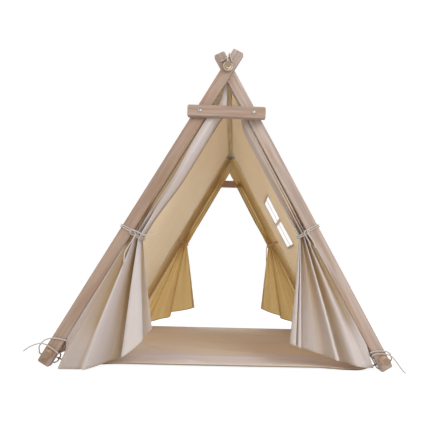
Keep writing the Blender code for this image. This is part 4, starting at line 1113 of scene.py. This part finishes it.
class TENT_OT_stage(Operator):
    """Set the pale floor, the soft lights and the camera"""

    bl_idname = "tent.stage"
    bl_label = "Stage"

    def execute(self, context):
        self.camera(context)
        self.floor(context)
        self.lights(context)
        context.scene.view_settings.view_transform = "Standard"
        return {"FINISHED"}

    def camera(self, context):
        """The camera stands where the photograph's stood, turned and tipped as it was."""
        data = bpy.data.cameras.new("camera")
        data.lens = 32.3
        data.sensor_width = 36.0
        data.shift_x = -0.0736
        camera = place("camera", data)
        yaw = radians(-1.226)
        pitch = radians(9.623)
        roll = radians(1.452)
        across = Vector((cos(yaw), sin(yaw), 0.0))
        level = Vector((-sin(yaw), cos(yaw), 0.0))
        ahead = cos(pitch) * level + Vector((0.0, 0.0, sin(pitch)))
        above = Vector((0.0, 0.0, cos(pitch))) - sin(pitch) * level
        right = cos(roll) * across + sin(roll) * above
        up = cos(roll) * above - sin(roll) * across
        turn = Matrix((right, up, -ahead)).transposed()
        camera.matrix_world = Matrix.Translation((0.0446, -1.8999, 0.3097)) @ turn.to_4x4()
        context.scene.camera = camera

    def floor(self, context):
        """A pale floor, with a white glow that the camera sees and the cloth doesn't."""
        f = Finish("floor_finish")
        seen = f.node("ShaderNodeLightPath")
        clear = f.output(seen, "Is Camera Ray") + f.output(seen, "Is Glossy Ray")
        clear = (clear + f.output(seen, "Is Transmission Ray")) * 0.72
        glow = f.node("ShaderNodeEmission", {}, {"Color": (1.0, 1.0, 1.0), "Strength": 1.25})
        f.blend_shaders(clear, f.shader, glow, "Material Output")
        f.finish(base_color=(0.86, 0.86, 0.86), roughness=0.9, specular_ior_level=0.1)
        bm = bmesh.new()
        bmesh.ops.create_grid(bm, x_segments=1, y_segments=1, size=FLOOR_HALF)
        bmesh.ops.translate(bm, verts=bm.verts, vec=(0.0, 0.0, -0.0004))
        mesh = bpy.data.meshes.new("floor")
        bm.to_mesh(mesh)
        bm.free()
        mesh.materials.append(f.material)
        floor = place("floor", mesh)

    def lights(self, context):
        """Three soft lamps, and a sky that is white to the camera and a little warm otherwise."""
        sky = Finish("studio", "worlds")
        context.scene.world = sky.material
        ambient, white = (
            sky.node("ShaderNodeBackground", {}, {"Color": colour, "Strength": strength})
            for colour, strength in (((1.0, 0.985, 0.965), 0.78), ((1.0, 1.0, 1.0), 1.0)))
        seen = sky.output(sky.node("ShaderNodeLightPath"), "Is Camera Ray")
        sky.blend_shaders(seen, ambient, white, "World Output")
        lamps = (("key", (2.0, -3.3, 2.4), 2.2, 70.0), ("fill", (-3.0, -2.2, 1.8), 2.4, 26.0),
                 ("top", (0.2, 0.6, 3.6), 3.0, 34.0))
        for name, spot, size, power in lamps:
            data = bpy.data.lights.new(name, "AREA")
            data.shape = "DISK"
            data.size = size
            data.energy = power
            aim = Vector(LIT_POINT) - Vector(spot)
            turn = aim.to_track_quat("-Z", "Y").to_matrix().to_4x4()
            place(name, data).matrix_world = Matrix.Translation(spot) @ turn


class TENT_OT_cords(Operator):
    """Make the tie-backs, the foot ties and the ridge lashings"""

    bl_idname = "tent.cords"
    bl_label = "Cords"

    def execute(self, context):
        for name, door in DOORS.items():
            face_y = FRONT_Y if door["side"] < 0 else INNER_Y
            node = name.replace("door", "tie_back")
            body = BODY[name.split("_")[1]]
            route = tie_back_route(door["side"], face_y, door["tie_s"], door["tails"])
            place_cord(node, door["end"], route, body)
        for end in TURN:
            for side in (-1, 1):
                world_side = side if end == "front" else -side
                half = "left" if world_side < 0 else "right"
                route = foot_tie_route(side, FRONT_Y if side < 0 else INNER_Y)
                place_cord("%s_%s_foot_tie" % (end, half), end, route, BODY[half])
            place_cord(end + "_ridge_lashing", end, lashing_route(), "left_frame")
        return {"FINISHED"}


class TENT_OT_frame(Operator):
    """Finish the legs, crossbars, poles and fastenings"""

    bl_idname = "tent.frame"
    bl_label = "Frame"

    def execute(self, context):
        colours = context.scene.tent_colours
        legs = ("front_left_leg", "rear_left_leg", "front_right_leg", "rear_right_leg")
        for seed, name in enumerate(legs):
            # The front right leg is painted paler than the others: painted light, for the light
            # that falls on it more
            pale = (1.15, 1.25, 1.36) if name == "front_right_leg" else (1.0, 1.0, 1.0)
            lean = (0.0, -LEG_ANGLE if "left" in name else LEG_ANGLE, 0.0)
            dress_node(name, wood_finish(name + "_finish", toned(colours.board, *pale), lean, seed,
                                         painted_light_and_shade=LEG_PAINTED_LIGHT_AND_SHADE.get(name, ())))
        sideways = (0.0, radians(90.0), 0.0)
        bar = tint(colours.board, 0.97)
        for seed, name in enumerate(
                ("front_crossbar", "rear_crossbar", "front_spacer", "rear_spacer"), 5):
            # The rear crossbars and spacers get a painted glow of warm light on their side towards
            # the tent
            glow = toned(colours.board, 1.7, 1.42, 1.25) if name.startswith("rear") else None
            dress_node(name, wood_finish(name + "_finish", bar, sideways, seed, glow=glow))
        lengthwise = (radians(90.0), 0.0, 0.0)
        for seed, name in enumerate(("ridge_pole", "left_base_rail", "right_base_rail")):
            reach = max(vert.co.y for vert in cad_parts[name].data.vertices)
            # The ridge pole's colour is painted warm light, the light inside the tent that falls on
            # its underside; its ends keep the poles' colour
            pole = colours.pole if seed else (0.92, 0.77, 0.52)
            dress_node(name, wood_finish(name + "_finish", pole, lengthwise, 10 + seed, reach,
                                         tint(colours.pole, 0.62)))
        steel = metal_finish("steel_finish", colours.steel, 0.3)
        eyelet = metal_finish("eyelet_finish", colours.eyelet, 0.34)
        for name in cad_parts:
            if name.endswith(("_bolt", "_nut", "_barrel")):
                dress_node(name, steel)
            elif name.endswith("_grommet"):
                dress_node(name, eyelet)
        return {"FINISHED"}


def canvas_pair(context, lining="lining"):
    """The two sides of the canvas: the outer one, and the inner one, coloured with painted warm
    light that comes through it.
    """
    colours = context.scene.tent_colours
    warm = getattr(colours, lining)
    # The outer side's dusk and shade colours are painted shade in its folds
    outer = bpy.data.materials.get("canvas_outside") or canvas_finish(
        "canvas_outside", colours.canvas, toned(colours.canvas, 0.43, 0.345, 0.23), through=0.5,
        dusk=toned(colours.canvas, 0.72, 0.7, 0.71))
    door = lining == "door_lining"
    # The inner side's shade is painted shade; on the doors, a rim of painted shade along the edges
    # and a bright colour of painted light where a leg stands behind
    inner = bpy.data.materials.get(lining) or canvas_finish(
        lining, warm, tint(warm, 0.82), through=0.5, inner=door, rim=0.006 if door else 0.0,
        bright=(1.0, 0.69, 0.32) if door else None)
    return [outer, inner]


class TENT_OT_canopy(Operator):
    """Make the canopy, one sheet over the ridge from rail to rail, and its window's straps"""

    bl_idname = "tent.canopy"
    bl_label = "Canopy"

    def execute(self, context):
        outer, inner = canvas_pair(context)
        bm, girth = canopy_bmesh()
        canopy = new_piece("canopy", bm, [outer, inner])
        thicken(canopy, CLOTH, 0.0, 1)
        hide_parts("left_wall", "right_wall")
        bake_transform(canopy)
        straps = new_piece("window_binding", window_bmesh(CLOTH + 0.0004), [outer, inner])
        thicken(straps, CLOTH, 0.0, 0)
        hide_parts("window_straps")
        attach(straps, "right_frame")
        return {"FINISHED"}


class TENT_OT_doors(Operator):
    """Make the four pleated door panels"""

    bl_idname = "tent.doors"
    bl_label = "Doors"

    def execute(self, context):
        outer, inner = canvas_pair(context, "door_lining")
        for name, door in DOORS.items():
            half = name.split("_")[1]
            bm = door_bmesh(door)
            bm.transform(TURN[door["end"]])
            bm.normal_update()
            facing = sum((f.normal.y * f.calc_area() for f in bm.faces), 0.0)
            outward = -1.0 if door["end"] == "front" else 1.0
            if facing * outward < 0.0:
                bmesh.ops.reverse_faces(bm, faces=bm.faces)
            panel = new_piece(name + "_canvas", bm, [outer, inner])
            thicken(panel, CLOTH, 0.0, 1)
            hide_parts(name)
            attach(panel, BODY[half])
            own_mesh(panel)
            hem = [door_point(door, k / 200.0, 0.0)[0] for k in range(201)]
            seam = [door_point(door, 0.0, k / 96.0)[0] for k in range(97)]
        return {"FINISHED"}


class TENT_OT_mat(Operator):
    """Make the floor mat"""

    bl_idname = "tent.mat"
    bl_label = "Mat"

    def execute(self, context):
        colours = context.scene.tent_colours
        # The mat takes its painted highlight colour, and a 4 mm rim of painted shade along its
        # edges, as under its lifted front
        material = canvas_finish("mat_canvas", colours.mat, colours.mat_highlight, 1.3, rim=0.004)
        mat = new_piece("floor_mat_canvas", mat_bmesh(), [material])
        if sum(f.normal.z * f.area for f in mat.data.polygons) < 0.0:
            mat.data.flip_normals()
        thicken(mat, MAT_THICK, 1.0)
        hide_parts("floor_mat")
        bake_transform(mat)
        return {"FINISHED"}


class TENT_PT_panel(Panel):
    bl_idname = "TENT_PT_panel"
    bl_label = "Play Tent"
    bl_space_type = "VIEW_3D"
    bl_region_type = "UI"
    bl_category = "Play Tent"

    def draw(self, context):
        layout = self.layout
        for settings in (context.scene.tent_sizes, context.scene.tent_colours):
            box = layout.box()
            for key in settings.__annotations__:
                box.prop(settings, key)
        for operator in OPERATORS:
            layout.operator(operator.bl_idname)


OPERATORS = (TENT_OT_stage, TENT_OT_cords, TENT_OT_frame, TENT_OT_canopy, TENT_OT_doors,
             TENT_OT_mat)
CLASSES = (TentSizes, TentColours, *OPERATORS, TENT_PT_panel)


def register():
    for item in CLASSES:
        bpy.utils.register_class(item)
    bpy.types.Scene.tent_sizes = PointerProperty(type=TentSizes)
    bpy.types.Scene.tent_colours = PointerProperty(type=TentColours)


def unregister():
    del bpy.types.Scene.tent_colours
    del bpy.types.Scene.tent_sizes
    for item in reversed(CLASSES):
        bpy.utils.unregister_class(item)


def main():
    register()
    bpy.ops.tent.stage()
    bpy.ops.tent.cords()
    bpy.ops.tent.frame()
    bpy.ops.tent.canopy()
    bpy.ops.tent.doors()
    bpy.ops.tent.mat()


if __name__ == "__main__":
    main()
